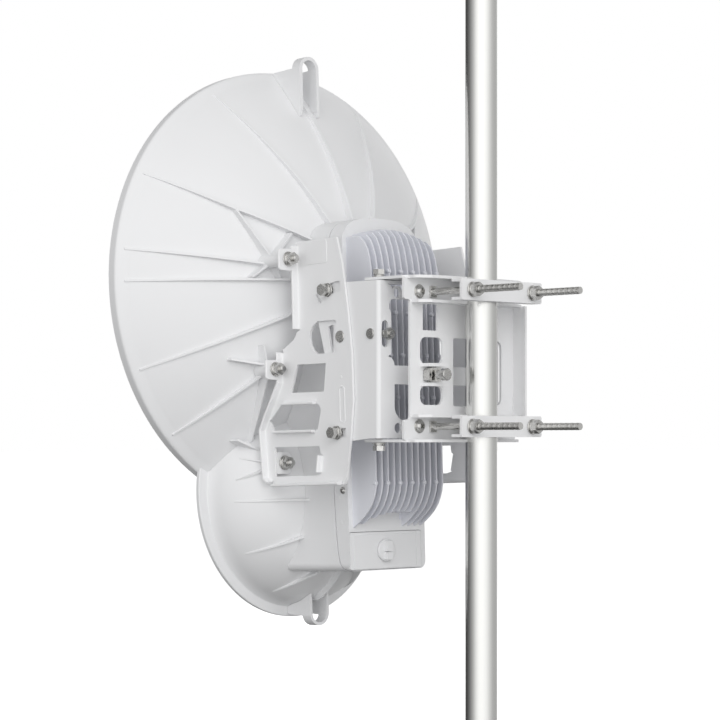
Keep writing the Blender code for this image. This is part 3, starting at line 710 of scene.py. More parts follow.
def cross_screw(radius, height):
    """A pan head with a cross recess."""
    head = [(0, -0.4), (radius, -0.4), (radius, 0.5)]
    for a in (20, 40, 60, 75):
        across, up = math.cos(math.radians(a)), math.sin(math.radians(a))
        head.append((radius * across ** 0.7, 0.5 + (height - 0.5) * up))
    head.append((0, height))
    arm, wide, deep = radius * 0.5, radius * 0.16, height * 0.12
    cross = [box(-x, x, deep, height + 1, -z, z) for x, z in ((arm, wide), (wide, arm))]
    return combine(revolve(head, 0, 40), cuts=cross)


# Operators, one for each piece or group of like pieces
class AntennaOperator:
    bl_options = {"REGISTER", "UNDO"}

    def execute(self, context):
        self.build(context.scene.bridge_antenna)
        return {"FINISHED"}


class ANTENNA_OT_finishes(AntennaOperator, bpy.types.Operator):
    """Makes the paints, plastics and metals of the antenna"""
    bl_idname = "antenna.finishes"
    bl_label = "Finishes"

    def build(self, settings):
        colours = settings.finish
        coated("bracket_paint", colours.paint, 0.42, 750.0, 0.16, 0.03)
        coated("dish_plastic", colours.plastic, 0.40, 1500.0, 0.08, 0.02)
        coated("feed_plastic", colours.plastic, 0.34, 1200.0, 0.05, 0.02)
        coated("cover_casting", colours.casting, 0.46, 520.0, 0.30, 0.03)
        plated("hardware", colours.zinc, 0.27, 0.12, 0.06)
        plated("tube", colours.tube, 0.20, 0.03, 0.002, (1.0, 1.0, 0.05))


class ANTENNA_OT_pole(AntennaOperator, bpy.types.Operator):
    """Builds the pole, a tube closed by a disc at its foot"""
    bl_idname = "antenna.pole"
    bl_label = "Pole"

    def build(self, settings):
        inner, top, edge = POLE_R - POLE_WALL, POLE_TOP, 0.6
        profile = [(0, 0), (POLE_R - edge, 0), (POLE_R, edge), (POLE_R, top - edge), (POLE_R - edge, top),
                   (inner + edge, top), (inner, top - edge), (inner, 5), (0, 5)]
        bm = turned("pole_profile", profile, 0, 96, "tube")
        bmesh.ops.rotate(bm, verts=bm.verts, matrix=Matrix.Rotation(math.radians(90), 3, "X"))
        piece("pole_tube", bm, "tube", "mount", ["pole"], edge=0)


def jaw(z):
    holes = [circle(s * ROD_X, z, ROD_R + 0.5) for s in (-1, 1)]
    web = slab(-JAW_HALF_X, JAW_HALF_X, z - JAW_HALF_Z, z + JAW_HALF_Z, 2.5, JAW_Y, JAW_Y + SHEET, holes)
    half, rear, front, notch = JAW_HALF_X - 0.5, JAW_Y + 0.6, JAW_Y + JAW_DEPTH, POLE_R + 0.3
    lips = [box(-half, half, rear, front, low, low + SHEET)
            for low in (z - JAW_HALF_Z, z + JAW_HALF_Z - SHEET)]
    pole = revolve([(0, -20), (notch, -20), (notch, 20), (0, 20)], 0, 96)
    return combine(web, lips, [aimed(pole, "+Z", (0, 0, z))])


class ANTENNA_OT_clamps(AntennaOperator, bpy.types.Operator):
    """Builds the two rear jaws that hold the bracket to the pole"""
    bl_idname = "antenna.clamps"
    bl_label = "Clamp jaws"

    def build(self, settings):
        for label, z in (("upper", CLAMP_Z + ROD_DZ), ("lower", CLAMP_Z - ROD_DZ)):
            piece("jaw_" + label, jaw(z), "bracket_paint", "mount", ["clamp_jaw_" + label], edge=0.7)


class ANTENNA_OT_clamp_hardware(AntennaOperator, bpy.types.Operator):
    """Builds the four threaded clamp rods with their nuts and washers"""
    bl_idname = "antenna.clamp_hardware"
    bl_label = "Clamp rods and nuts"

    def build(self, settings):
        pitch = settings.clamp.thread_pitch / MM
        places = [(s * ROD_X, 0, CLAMP_Z + d * ROD_DZ, "+Y", 0) for _, s in SIDES for d in (-1, 1)]
        nodes = ["clamp_%s_%s_%s" % (kind, label, side)
                 for kind in ("rod", "nut") for label in ("upper", "lower") for side, _ in SIDES]
        cut = moved(thread(ROD_R - 0.35, pitch, 66.5), y=-97.2)
        rods = joined([shank(ROD_R - 0.2, -97.4, 33.0, 0.6), cut])
        nuts = joined([moved(hexagon(7.4, 7.0, ROD_R + 0.1), y=JAW_Y - 10.9),
                       split_washer(6.6, ROD_R + 0.3, JAW_Y - 3.85, JAW_Y - 1.95),
                       disc(8.0, JAW_Y - 1.9, JAW_Y - 0.3, ROD_R + 0.4)])
        necks = slab(-4.3, 4.3, -5.9, 5.9, 0.6, 24.8, 27.4, [circle(0, 0, ROD_R - 0.5)])
        copies("clamp_rods", rods, places, "hardware", "mount", nodes)
        copies("clamp_outer_nuts", nuts, places, "hardware", "mount")
        copies("clamp_necks", necks, places, "hardware", "mount")


class ANTENNA_OT_pole_bracket(AntennaOperator, bpy.types.Operator):
    """Builds the pressed bracket on the pole with its hinge plates"""
    bl_idname = "antenna.pole_bracket"
    bl_label = "Pole bracket"

    def build(self, settings):
        upper, lower = CLAMP_Z + ROD_DZ, CLAMP_Z - ROD_DZ
        outline = eased([(-78.5, 437), (-87.7, 436), (-87.7, 414.5), (83, 414.5), (83, 585), (-87.7, 585),
                         (-87.7, 562), (-78.5, 561)], 3)
        holes = [rounded(-60, -37.5, 530, 557.6, 1), rounded(-64, -30, 494.6, 523, 8),
                 rounded(-64, -30, 452, 472.4, 8), rounded(-14, 14, 451, 523, 2),
                 rounded(33, 61, 452, 522, 8), circle(SCREW_X, SCREW_Z, 4.3)]
        wall = sheet(outline, holes, "Y", WALL_Y, WALL_FRONT)
        rear = [(-82, 17), (-66, 8), (-40, 6), (-18, 4), (18, 4), (40, 6), (66, 8), (82, 17)]
        # Channels next to the clamps, hinge plates, the lips round the screw and the lip of the far edge
        channel = eased([(-77, 17)] + rear[1:] + [(82, 29), (-77, 29)], 2)
        adds = [sheet(channel, [], "Z", low, low + SHEET) for low in (upper - 12.4, lower + 9.4)]
        plate = rear + [(82, 38), (60, 46), (-50, 56), (-54, 88), (-60, 94), (-79, 94), (-86, 88), (-87, 40),
                        (-87, 31), (-82, 26)]
        hinge = [circle(AZIMUTH_X, AZIMUTH_Y, 4.6)]
        for low, end in ((PLATE_TOP - SHEET, 82), (PLATE_BOTTOM, 77.5)):
            shorter = eased([(min(x, end), y) for x, y in plate], 5)
            adds.append(sheet(shorter, hinge, "Z", low, low + SHEET))
        adds += [box(-63, -34, 15.5, 29, low, low + 3.5) for low in (492, 471.5)]
        adds.append(box(79.5, 82.5, 10, 29, lower + 11, upper - 11))
        cuts = [rod("Y", x, z, ROD_R + 0.5, 20, 60) for x in (-ROD_X, ROD_X) for z in (upper, lower)]
        cuts.append(rod("Z", 0, 0, POLE_R + 0.3, 405, 595, 96))
        body = combine(wall, adds, cuts)
        piece("bracket_on_pole", body, "bracket_paint", "mount", ["pole_bracket"], edge=0.6)


class ANTENNA_OT_azimuth_hardware(AntennaOperator, bpy.types.Operator):
    """Builds the bolts of the azimuth hinge and its adjusting screw"""
    bl_idname = "antenna.azimuth_hardware"
    bl_label = "Azimuth bolts and screw"

    def build(self, settings):
        bolt = joined([shank(3.9, -11.5, 4.5), disc(7.4, 0.3, 1.8, 4.0), split_washer(5.4, 4.05, 1.9, 3.4),
                       moved(hexagon(6.7, 5.6), y=3.6)])
        places = [(AZIMUTH_X, AZIMUTH_Y, PLATE_TOP, "+Z", 10), (AZIMUTH_X, AZIMUTH_Y, PLATE_BOTTOM, "-Z", 4)]
        nodes = ["azimuth_bolt_upper", "azimuth_bolt_lower"]
        copies("azimuth_bolts", bolt, places, "hardware", "mount", nodes)
        block = [slab(-54, -48.4, 475.8, 491.2, 0.8, 12.5, 26.8),
                 slab(-59.6, -56.2, 477.6, 488.6, 0.8, 18.0, 26.8, [circle(-58, SCREW_Z, 1.2, 16)]),
                 slab(-57, -50, 486.2, 490.4, 0.8, 20.0, 26.8)]
        collar = revolve([(0, 6.4), (4.9, 6.4), (5.1, 12.8), (0, 12.8)], 0, 40)
        for shape in (collar, disc(6.4, -0.4, 7.0, 0, 0.7), shank(3.6, 20, 44)):
            block.append(moved(shape, SCREW_X, 0, SCREW_Z))
        piece("azimuth_adjuster", joined(block), "hardware", "mount", ["azimuth_screw"], edge=0.4)
        spots = [(-65.6, WALL_Y, CLAMP_Z + d * 70.2, "-Y", 25 - 15 * d) for d in (1, -1)]
        screw = joined([disc(7.4, -0.2, 1.2, 2.0), moved(cross_screw(5.8, 4.2), y=1.25)])
        copies("wall_screws", screw, spots, "hardware", "mount")


U_OUTER_BEND, U_MID_BEND = 4.5, 3.0


def u_point(s, z, t):
    """A point of the U bracket from its flat pattern: s along the bend, t into the sheet."""
    flat, side = U_HALF_X - U_OUTER_BEND, 1 if s >= 0 else -1
    arc = U_MID_BEND * math.pi / 2
    along = abs(s)
    if along <= flat:
        return (s, U_REAR_Y + t, z)
    if along <= flat + arc:
        a = (along - flat) / U_MID_BEND
        r = U_OUTER_BEND - t
        return (side * (flat + r * math.sin(a)), U_REAR_Y + U_OUTER_BEND - r * math.cos(a), z)
    return (side * (U_HALF_X - t), U_REAR_Y + U_OUTER_BEND + along - flat - arc, z)


def u_along(y):
    return U_HALF_X - U_OUTER_BEND + U_MID_BEND * math.pi / 2 + y - U_REAR_Y - U_OUTER_BEND


def folded(outline, holes, lines):
    """A sheet with rounded bends, from its flat pattern."""
    flat, kept = filled([outline] + holes, lines)
    verts = [u_point(p[0], p[1], t) for t in (0, SHEET) for p in flat]
    return pulled(verts, kept, len(flat))


class ANTENNA_OT_alignment_bracket(AntennaOperator, bpy.types.Operator):
    """Builds the U bracket that turns on the azimuth bolts"""
    bl_idname = "antenna.alignment_bracket"
    bl_label = "Alignment bracket"

    def build(self, settings):
        side = [(66, U_BOTTOM), (72, U_BOTTOM), (98, 414.5), (124, 414.5), (131, 421), (131, 500), (141, 507),
                (151, 541), (153, 562), (153, 576), (147, U_TOP), (66, U_TOP)]
        right = [(u_along(y), z) for y, z in side]
        outline = eased(right + [(-s, z) for s, z in reversed(right)], 3)
        shoulder = [(-79 + 9 * math.sin(math.radians(a)), 493.6 + 9 * math.cos(math.radians(a)))
                    for a in (0, 22, 45, 68, 90)]
        window = arc(-71.6, 557, 6.4, 90, 80, 4) + [(-78, 553), (-75, 549), (-75, 505), (-78, 504.4)]
        window += shoulder + [(62, 493.6), (67, 503), (67, 560), (63, 563.4)]
        foot = [(65, 474), (-70, 474)] + rounded(-70, 65, 436, 474, 15)[16:]
        holes = [window, foot, circle(-66.4, 570, 5.0), circle(-64.6, 428, 5.5)]
        holes.append([(-80, 579.2), (-76, 577.2), (-73, 573.8), (-71.6, 575.6), (-69, 577.2), (-62, 576.6),
                      (-59, 572), (-56, 571), (-56, 579.2)])
        catch = ((136.3, 535.7), (130.7, 537.9), (127.6, 537.6), (127.6, 508.4), (130.4, 508.1))
        lines = []
        for _, s in SIDES:
            holes.append(rounded(*sorted((s * 79.4, s * 88.9)), 512.5, 540.5, 4.7))
            holes.append([(s * u_along(y), z) for y, z in catch])
            holes += [circle(s * u_along(y), z, 4.4) for _, y, z in LOCKS]
            for a in (0, 18, 36, 54, 72, 90):
                along = s * (U_HALF_X - U_OUTER_BEND + U_MID_BEND * math.radians(a))
                lines.append([(along, U_BOTTOM + 0.01), (along, U_TOP - 0.01)])
        body = folded(outline, holes, lines)
        tab = eased([(-92, 61), (-92, 84), (-88, 92), (-60, 92), (-56, 88), (-56, 61)], 4)
        hinge = [circle(AZIMUTH_X, AZIMUTH_Y, 4.6)]
        tabs = [sheet(tab, hinge, "Z", low + 0.1, low + SHEET - 0.1) for low in (U_TOP - SHEET, U_BOTTOM)]
        piece("u_bracket", combine(body, tabs), "bracket_paint", "bracket", ["alignment_bracket"], edge=0.5)


class ANTENNA_OT_elevation_hardware(AntennaOperator, bpy.types.Operator):
    """Builds the pivot pins, the lock bolts and the elevation screw"""
    bl_idname = "antenna.elevation_hardware"
    bl_label = "Elevation hardware"

    def build(self, settings):
        wall = U_HALF_X - SHEET
        pin = joined([shank(5.9, wall + 1, ARM_X + 0.4), disc(6.1, ARM_X + 0.3, ARM_X + 1.2, 0, 0.3)])
        lock = joined([shank(3.9, 84.2, ARM_X + 6.0), moved(hexagon(7.4, 6.4), y=wall - 6.7),
                       disc(7.4, ARM_X + 0.4, ARM_X + 2.0, 4.0),
                       split_washer(6.6, 4.05, ARM_X + 2.1, ARM_X + 3.7),
                       disc(6.9, ARM_X + 3.75, ARM_X + 4.8), moved(hexagon(6.4, 6.4), y=ARM_X + 4.75)])
        pins = ["pivot_pin_" + side for side, _ in SIDES]
        locks = ["lock_bolt_%s_%s" % (label, side) for label in ("upper", "lower") for side, _ in SIDES]
        places = [(0, PIVOT_Y, PIVOT_Z, OUTWARD[s], 0) for _, s in SIDES]
        copies("pivot_pins", pin, places, "hardware", "bracket", pins)
        places = [(0, y, z, OUTWARD[s], 17 * i) for _, s in SIDES for i, (_, y, z) in enumerate(LOCKS)]
        copies("lock_bolts", lock, places, "hardware", "bracket", locks)
        collar = revolve([(0, 54), (4.4, 54), (5.2, 57), (0, 57)], 0, 40)
        shapes = (shank(3.6, 47, 73.5), moved(hexagon(6.4, 4.6), y=50.0), collar)
        screw = [moved(shape, -84.5, 0, 526.5) for shape in shapes]
        screw.append(aimed(disc(5.6, 93.0, 95.4, 0, 0.6), "-X", (0, 71.1, 526.7)))
        screw.append(slab(-89, -80, 522, 531, 1, U_REAR_Y + SHEET + 4, 72))
        piece("elevation_adjuster", joined(screw), "hardware", "bracket", ["elevation_screw_left"], edge=0.4)


# Arms: plates whose edges are turned outwards by a bend of real radius
BEND, LIP_INNER = 5.0, 2.0


def lip_levels(height):
    """The lip's section as (inset, outward) pairs from the plate's outer face round to its inner face."""
    turns = [math.radians(a) for a in (0, 22.5, 45, 67.5, 90)]
    levels = [(BEND - LIP_INNER * math.sin(a), LIP_INNER - LIP_INNER * math.cos(a)) for a in turns]
    levels += [(3.0, height - 0.7), (2.3, height), (0.7, height), (0.0, height - 0.7)]
    return levels + [(BEND - BEND * math.cos(a), LIP_INNER - BEND * math.sin(a)) for a in turns]


def inset_point(loop, i, by):
    a, b, c = Vector(loop[i - 1][:2]), Vector(loop[i][:2]), Vector(loop[(i + 1) % len(loop)][:2])
    one = Vector((-(b - a).y, (b - a).x)).normalized()
    two = Vector((-(c - b).y, (c - b).x)).normalized()
    n = (one + two) / max(0.35, 1 + one.dot(two))
    return (b.x + n.x * by, b.y + n.y * by)


def wound(loop, left):
    area = sum(loop[i - 1][0] * loop[i][1] - loop[i][0] * loop[i - 1][1] for i in range(len(loop)))
    return list(loop) if (area > 0) == left else list(reversed(loop))


def bent_plate(side, loops):
    """A plate from loops of (y, z, lip height or None), lips turned away from the dishes' middle."""
    loops = [wound(loop, k == 0) for k, loop in enumerate(loops)]
    plate, verts, faces, bends = [], [], [], set()
    for loop in loops:
        count = len(loop)
        plate.append([p[:2] if p[2] is None else inset_point(loop, i, BEND) for i, p in enumerate(loop)])
        for i in range(count):
            j = (i + 1) % count
            if loop[i][2] is None or loop[j][2] is None:
                continue
            bends.add(key_of(plate[-1][i], plate[-1][j]))
            rings = []
            for k in (i, j):
                ring = [(*inset_point(loop, k, inset), out) for inset, out in lip_levels(loop[k][2])]
                rings.append([(side * (ARM_X + out), y, z) for y, z, out in ring])
            start, levels = len(verts), len(rings[0])
            verts += rings[0] + rings[1]
            for n in range(start, start + levels - 1):
                faces.append((n, n + 1, n + levels + 1, n + levels))
            if loop[i - 1][2] is None:
                faces.append(tuple(range(start, start + levels)))
            if loop[(j + 1) % count][2] is None:
                faces.append(tuple(range(start + levels, start + 2 * levels)))
    flat, kept = filled(plate)
    n, start = len(flat), len(verts)
    verts += [(side * (ARM_X - t), p[0], p[1]) for t in (0, SHEET) for p in flat]
    faces += [tuple(start + i for i in f) for f in kept]
    faces += [tuple(start + n + i for i in reversed(f)) for f in kept]
    for a, b in walls_of(kept):
        if key_of(flat[a], flat[b]) not in bends:
            faces.append((start + a, start + b, start + n + b, start + n + a))
    return cleaned(mesh_of(verts, faces))


def key_of(one, two):
    return tuple(sorted(((round(one[0], 2), round(one[1], 2)), (round(two[0], 2), round(two[1], 2)))))


def plain(*points):
    """Points of a plate's edge without a lip."""
    return [(y, z, None) for y, z in points]


def lipped(height, *points):
    return [(y, z, height) for y, z in points]


def arc_slot(y, z, travel, half):
    """A curved slot round the pivot with round ends, turned with the antenna."""
    dy, dz = y - PIVOT_Y, z - PIVOT_Z
    radius, mid = math.hypot(dy, dz), math.degrees(math.atan2(dz, dy)) - TILT_DEG
    outer = arc(PIVOT_Y, PIVOT_Z, radius + half, mid - travel, 2 * travel, 12)
    inner = arc(PIVOT_Y, PIVOT_Z, radius - half, mid + travel, -2 * travel, 12)
    return eased(plain(*outer, *inner), 3.0)


def tab_stations(y, z0, z1, low, high):
    """Points up an edge whose lip reaches further between two heights, with round corners."""
    out, r = [], 3.0
    for i in range(5):
        a = math.radians(90 * i / 4)
        out.append((y, z0 + r * (1 - math.cos(a)) + 0.02 * i, high - r + r * math.sin(a)))
    out += [(y, z0 + z1 - z, tall) for _, z, tall in reversed(out)]
    return [(y, z0 - 0.3, low)] + out + [(y, z1 + 0.3, low)]


class ANTENNA_OT_side_arms(AntennaOperator, bpy.types.Operator):
    """Builds the two pressed arms with their turned edges, tabs and windows"""
    bl_idname = "antenna.side_arms"
    bl_label = "Side arms"

    def build(self, settings):
        outline = plain((177, 631), (116, 631), (108, 600), (101.5, 553), (97, 506), (96.5, 457), (102, 414),
                        (109, 374), (113, 368), (115, 368)) + lipped(8, (116, 368), (221, 368))
        outline += plain((222, 368), (226, 370.4))
        outline += lipped(8, (227.5, 371.2), (234.5, 376), (238.5, 430), (231, 444), (208, 481))
        outline += tab_stations(208, 484, 505, 8, 121 - ARM_X) + lipped(8, (208, 507), (208, 514.5))
        outline += plain((205, 517.4), (202, 517.6), (187, 526), (183.4, 530), (181.4, 534))
        outline += lipped(8, (180.4, 537.5), (180, 546), (180, 590))
        outline += tab_stations(180, 600, 623, 8, 124 - ARM_X) + lipped(8, (180, 626.5)) + plain((180, 627.5))
        pivot_window = plain((149, 543.4), (122, 543), (120, 542), (119.2, 540), (121, 538.4), (121.4, 512.4),
                             (119.6, 511), (120, 508.8), (122, 508), (150, 508.8), (155, 512), (159, 518.6),
                             (161, 526), (160, 532), (156, 539))
        middle = plain((182, 499), (137, 498), (141, 468), (193, 469))
        low = plain((209, 456), (206, 456)) + lipped(6, (205, 456), (153, 455))
        low += plain((152, 455), (149, 454), (146, 449), (152, 428), (155, 428))
        low += lipped(6, (156, 428), (218, 429)) + plain((219, 429), (222, 429), (228, 440))
        # The lowest window reaches further back in the right arm
        lowest = {-1: plain((221, 411), (150, 410), (148, 402)) + lipped(6, (148.3, 400.5), (151.4, 382.5))
                  + plain((152, 379.5), (153, 379), (221, 379)),
                  1: plain((221, 411), (139, 410), (138, 402)) + lipped(6, (138.4, 400.5), (142.6, 382.5))
                  + plain((144, 379.5), (146, 379), (221, 379))}
        slots = [arc_slot(*LOCKS[0][1:], 20.0, 5.8), arc_slot(*LOCKS[1][1:], 7.1, 4.7)]
        hole = plain(*circle(PIVOT_Y, PIVOT_Z, 6.3))
        for side, s in SIDES:
            body = bent_plate(s, [outline, pivot_window, middle, low, lowest[s], hole] + slots)
            corners = ((76, 384), (79, 382), (96.5, 382), (96.5, 406), (79, 406), (76, 404))
            tab = eased([(s * x, z) for x, z in corners], 2)
            shapes = [body, sheet(tab, [circle(s * 86, 394, 4.4)], "Y", 218.4, 221.4)]
            piece("arm_" + side, joined(shapes), "bracket_paint", "antenna", ["side_arm_" + side], edge=0.35)
            out = sorted((s * (ARM_X - 0.2), s * (ARM_X + 0.6)))
            rings = ((rounded(131, 164, 605, 630, 3), []),
                     (rounded(108.6, 118, 433, 473, 4.6), [rounded(110.6, 116, 435, 471, 2.6)]),
                     (circle(113.8, 482, 1.7, 20), []))
            marks = [sheet(ring, holes, "X", *out) for ring, holes in rings]
            piece("arm_marks_" + side, joined(marks), "bracket_paint", "antenna", edge=0.5)


class ANTENNA_OT_stud_nuts(AntennaOperator, bpy.types.Operator):
    """Builds the studs that carry the dishes, with their nuts and washers"""
    bl_idname = "antenna.stud_nuts"
    bl_label = "Stud nuts"

    def build(self, settings):
        thread_end = moved(thread(3.3, settings.clamp.thread_pitch / MM, 4.2), y=10.0)
        shape = joined([shank(3.5, -9.0, 14.6, 0.6), disc(8.0, 0.3, 1.9, 4.0),
                        split_washer(7.0, 4.05, 1.95, 3.4), disc(7.2, 3.45, 4.4, 3.6),
                        moved(hexagon(6.9, 5.4), y=4.35), thread_end])
        places = [(s * x, y, z, "-Y", 13 * i + 5 * s)
                  for _, s in SIDES for i, (_, x, z, y) in enumerate(STUDS)]
        nodes = ["stud_nut_%s_%s" % (label, side) for label, *_ in STUDS for side, _ in SIDES]
        copies("stud_nuts", shape, places, "hardware", "antenna", nodes)


# Reflectors
def main_back(r):
    return MAIN_BACK + r * r / MAIN_FOCUS4


def small_back(r):
    return SMALL_BACK + r * r / SMALL_FOCUS4


MAIN_RINGS = [9.0 * i for i in range(27)]
MAIN_OUTSIDE = [(r, main_back(r)) for r in MAIN_RINGS]
MAIN_OUTSIDE += [(237, 292.8), (240, 295.5), (245, 299), (247.6, 300.9), (248.6, 302.4)]
MAIN_PROFILE = MAIN_OUTSIDE + [(248.8, 304), (248.8, 312.4), (248.2, 313), (245.9, 313), (245.3, 312.4),
                               (244.8, 307), (244, 305), (242, 303), (239.5, 301)]
MAIN_PROFILE += [(r, main_back(r) + 4.2 + r / 100) for r in reversed(MAIN_RINGS)]
SMALL_RINGS = [6.0 * i for i in range(15)]
SMALL_OUTSIDE = [(r, small_back(r)) for r in SMALL_RINGS]
SMALL_OUTSIDE += [(90, 230.2), (96, 236), (102, 242.5), (108, 249.8), (113, 256.8), (117.5, 264.2),
                  (121, 271), (123.5, 277), (125, 282), (127, 289.5), (129, 295.6), (130.6, 297.2),
                  (140.4, 298), (141.2, 298.8)]
SMALL_PROFILE = SMALL_OUTSIDE + [(141.2, 302.6), (140.9, 302.9), (128.6, 302.9), (126, 301.2), (124.4, 298),
                                 (122.7, 291.6), (120.7, 284.2), (119.2, 278.9), (116.9, 272.8),
                                 (113.6, 266.4), (109.3, 259.3), (104.4, 252.5), (98.6, 245.4),
                                 (92.8, 239.3), (87.5, 234.2)]
SMALL_PROFILE += [(r, small_back(r) + 4.2 + r / 80) for r in reversed(SMALL_RINGS)]


def depth_at(outside, r):
    for (r0, y0), (r1, y1) in zip(outside, outside[1:]):
        if r <= r1:
            return y0 + (y1 - y0) * (r - r0) / (r1 - r0)
    return outside[-1][1]


def rib_line(start, end, tall, low, centre_z, outside, straight=False):
    """A line in a reflector's back from (x, z) to (x, z), with the rib's height at each point."""
    first, last = (depth_at(outside, math.hypot(x, z - centre_z)) for x, z in (start, end))
    line, count = [], 24
    for i in range(count + 1):
        t = i / count
        x, z = start[0] + (end[0] - start[0]) * t, start[1] + (end[1] - start[1]) * t
        y = depth_at(outside, math.hypot(x, z - centre_z)) + 1.5
        height = tall + (low - tall) * t + 1.5
        if straight:
            height = y - first + tall - (last - first + tall - low) * t
        line.append((x, y, z, max(1.6, height)))
    return line


def polar(angle, radius):
    a = math.radians(angle)
    return (radius * math.cos(a), MAIN_Z + radius * math.sin(a))


# Ribs as start, end, and the height at each
FORK = polar(29.3, 158)
MAIN_RIBS = [(polar(63, 62), polar(63, 240), 9, 1.0), (FORK, polar(29.3, 242), 7, 1.0),
             (polar(36, 76), FORK, 9, 7.4), (polar(8.3, 119), polar(8.3, 242), 9, 1.0),
             (polar(0, 60), polar(0, 241), 9.4, 1.2), (polar(-23.2, 70), polar(-23.2, 242), 9.4, 1.0),
             (polar(-43, 150), polar(-43, 243), 9, 1.0)]
BOSS_RIBS = [((111, 613), FORK, 13, 6.6), ((110, 614), (84, 643.6), 13, 8.6),
             ((112, 611), (131, 594.6), 13, 8.0), ((109, 610), (101, 594.6), 13, 8.4),
             ((109, 500), (145, 507), 13, 7.4), ((110, 498), (114.6, 522), 14, 8.0),
             ((108, 494), (99, 418), 15, 8.0)]
SMALL_RIBS = [((58, 353.2), (118, 353.2), 7, 0.6), ((56, 315), (100, 295.2), 8, 0.6),
              ((32, 273), (55, 252), 12, 0.6), ((92, 394.2), (111, 401), 8, 0.6),
              ((92, 390), (116.5, 376.4), 8, 0.6)]
# The ledge where the dishes meet, as x, y, z and height
LEDGE = ((119, 273, 420.4, 6.5), (86, 259, 404.6, 26.5))


def main_space():
    """The room that the large dish takes, with its gap."""
    rings = [(r, y - DISH_GAP) for r, y in MAIN_OUTSIDE]
    rings += [(249.1 + DISH_GAP, 303 - DISH_GAP), (249.1 + DISH_GAP, 330), (0, 330)]
    return revolve(rings, MAIN_Z, 192)


def small_space():
    """The room that the small dish takes, with its gap."""
    shallow = [(r, y - DISH_GAP) for r, y in SMALL_OUTSIDE if r < 110]
    steep = [(r + DISH_GAP, y - DISH_GAP) for r, y in SMALL_OUTSIDE if r > 110]
    rim = [(141.2 + DISH_GAP, 302), (141.2 + DISH_GAP, 330), (0, 330)]
    return revolve(shallow + steep + rim, SMALL_Z, 160)


class ANTENNA_OT_main_reflector(AntennaOperator, bpy.types.Operator):
    """Builds the large reflector with its ribs and stud bosses"""
    bl_idname = "antenna.main_reflector"
    bl_label = "Main reflector"

    def build(self, settings):
        dish = turned("main_dish_profile", MAIN_PROFILE, MAIN_Z, settings.dish.segments, "dish_plastic")
        lines = [rib_line((0, MAIN_Z + 70), (0, MAIN_Z + 226), 9, 3, MAIN_Z, MAIN_OUTSIDE)]
        for _, s in SIDES:
            for rows, straight in ((MAIN_RIBS, False), (BOSS_RIBS, True)):
                for (x0, z0), (x1, z1), *tall in rows:
                    lines.append(rib_line((s * x0, z0), (s * x1, z1), *tall, MAIN_Z, MAIN_OUTSIDE, straight))
            lines.append([(s * x, y, z, tall) for x, y, z, tall in LEDGE])
        piece("main_dish", dish, "dish_plastic", "antenna", ["main_reflector"], edge=0)
        bosses = []
        for _, s in SIDES:
            for _, x, z, y in STUDS[:2]:
                foot, tip = main_back(math.hypot(x, z - MAIN_Z)) + 2.5, y + SHEET + 0.3
                boss = revolve([(4.6, tip), (6.9, tip), (8.4, foot), (4.6, foot)], 0, 48)
                bosses.append(moved(boss, s * x, 0, z))
        web = ribs("main_ribs", lines, "dish_plastic", settings.dish.rib_thickness / MM)
        piece("main_dish_ribs", web, "dish_plastic", "antenna", edge=0.5)
        piece("main_dish_bosses", joined(bosses), "dish_plastic", "antenna", edge=0.5)


class ANTENNA_OT_small_reflector(AntennaOperator, bpy.types.Operator):
    """Builds the small reflector with its ribs and stud bosses"""
    bl_idname = "antenna.small_reflector"
    bl_label = "Small reflector"

    def build(self, settings):
        dish = turned("small_dish_profile", SMALL_PROFILE, SMALL_Z, settings.dish.segments, "dish_plastic")
        lines = [rib_line((0, SMALL_Z - 76), (0, 239.5), 8, 13, SMALL_Z, SMALL_OUTSIDE)]
        for _, s in SIDES:
            for (x0, z0), (x1, z1), *tall in SMALL_RIBS:
                lines.append(rib_line((s * x0, z0), (s * x1, z1), *tall, SMALL_Z, SMALL_OUTSIDE))
        dish = combine(dish, cuts=[main_space()])
        piece("small_dish", dish, "dish_plastic", "antenna", ["small_reflector"], edge=0)
        web = ribs("small_ribs", lines, "dish_plastic", settings.dish.rib_thickness / MM)
        piece("small_dish_ribs", web, "dish_plastic", "antenna", edge=0.5)
        _, x, z, y = STUDS[2]
        foot, tip = small_back(math.hypot(x, z - SMALL_Z)) + 2.5, y + SHEET + 0.6
        bosses = [sheet(circle(s * x, z, 7.4, 48), [circle(s * x, z, 4.6)], "Y", tip, foot) for _, s in SIDES]
        piece("small_dish_bosses", joined(bosses), "dish_plastic", "antenna", edge=0.5)


def arch(half, top, foot):
    """Half width, height and foot of the case as a loop: a flat arch on straight sides with rounded feet."""
    rise, corner, count = 39.5, 9.0, 44
    points = []
    for i in range(count + 1):
        a = math.pi * i / count
        across, up = abs(math.cos(a)) ** (2 / 3), math.sin(a) ** (2 / 3)
        points.append((half * math.copysign(across, math.cos(a)), top - rise + rise * up))
    points += arc(-half + corner, foot + corner, corner, 180, 90, 8)
    return points + arc(half - corner, foot + corner, corner, 270, 90, 8)


def lofted(sections):
    """A closed body through loops of (x, z) with one count of points, each at its own y."""
    verts, faces = [], []
    count = len(sections[0][1])
    for y, loop in sections:
        verts += [(x, y, z) for x, z in loop]
    for k in range(len(sections) - 1):
        for i in range(count):
            j = (i + 1) % count
            faces.append((k * count + i, k * count + j, (k + 1) * count + j, (k + 1) * count + i))
    faces += [tuple(range(count)), tuple(range((len(sections) - 1) * count, len(sections) * count))]
    return outward(mesh_of(verts, faces))


# Side view of the seam between the cover's plate and the housing, as (y, z)
SEAM = [(151, 274.6), (155, 275.6), (158.4, 278), (161.2, 282.4), (163.4, 290), (165, 300), (166.4, 314),
        (167.4, 330), (168.2, 350)]


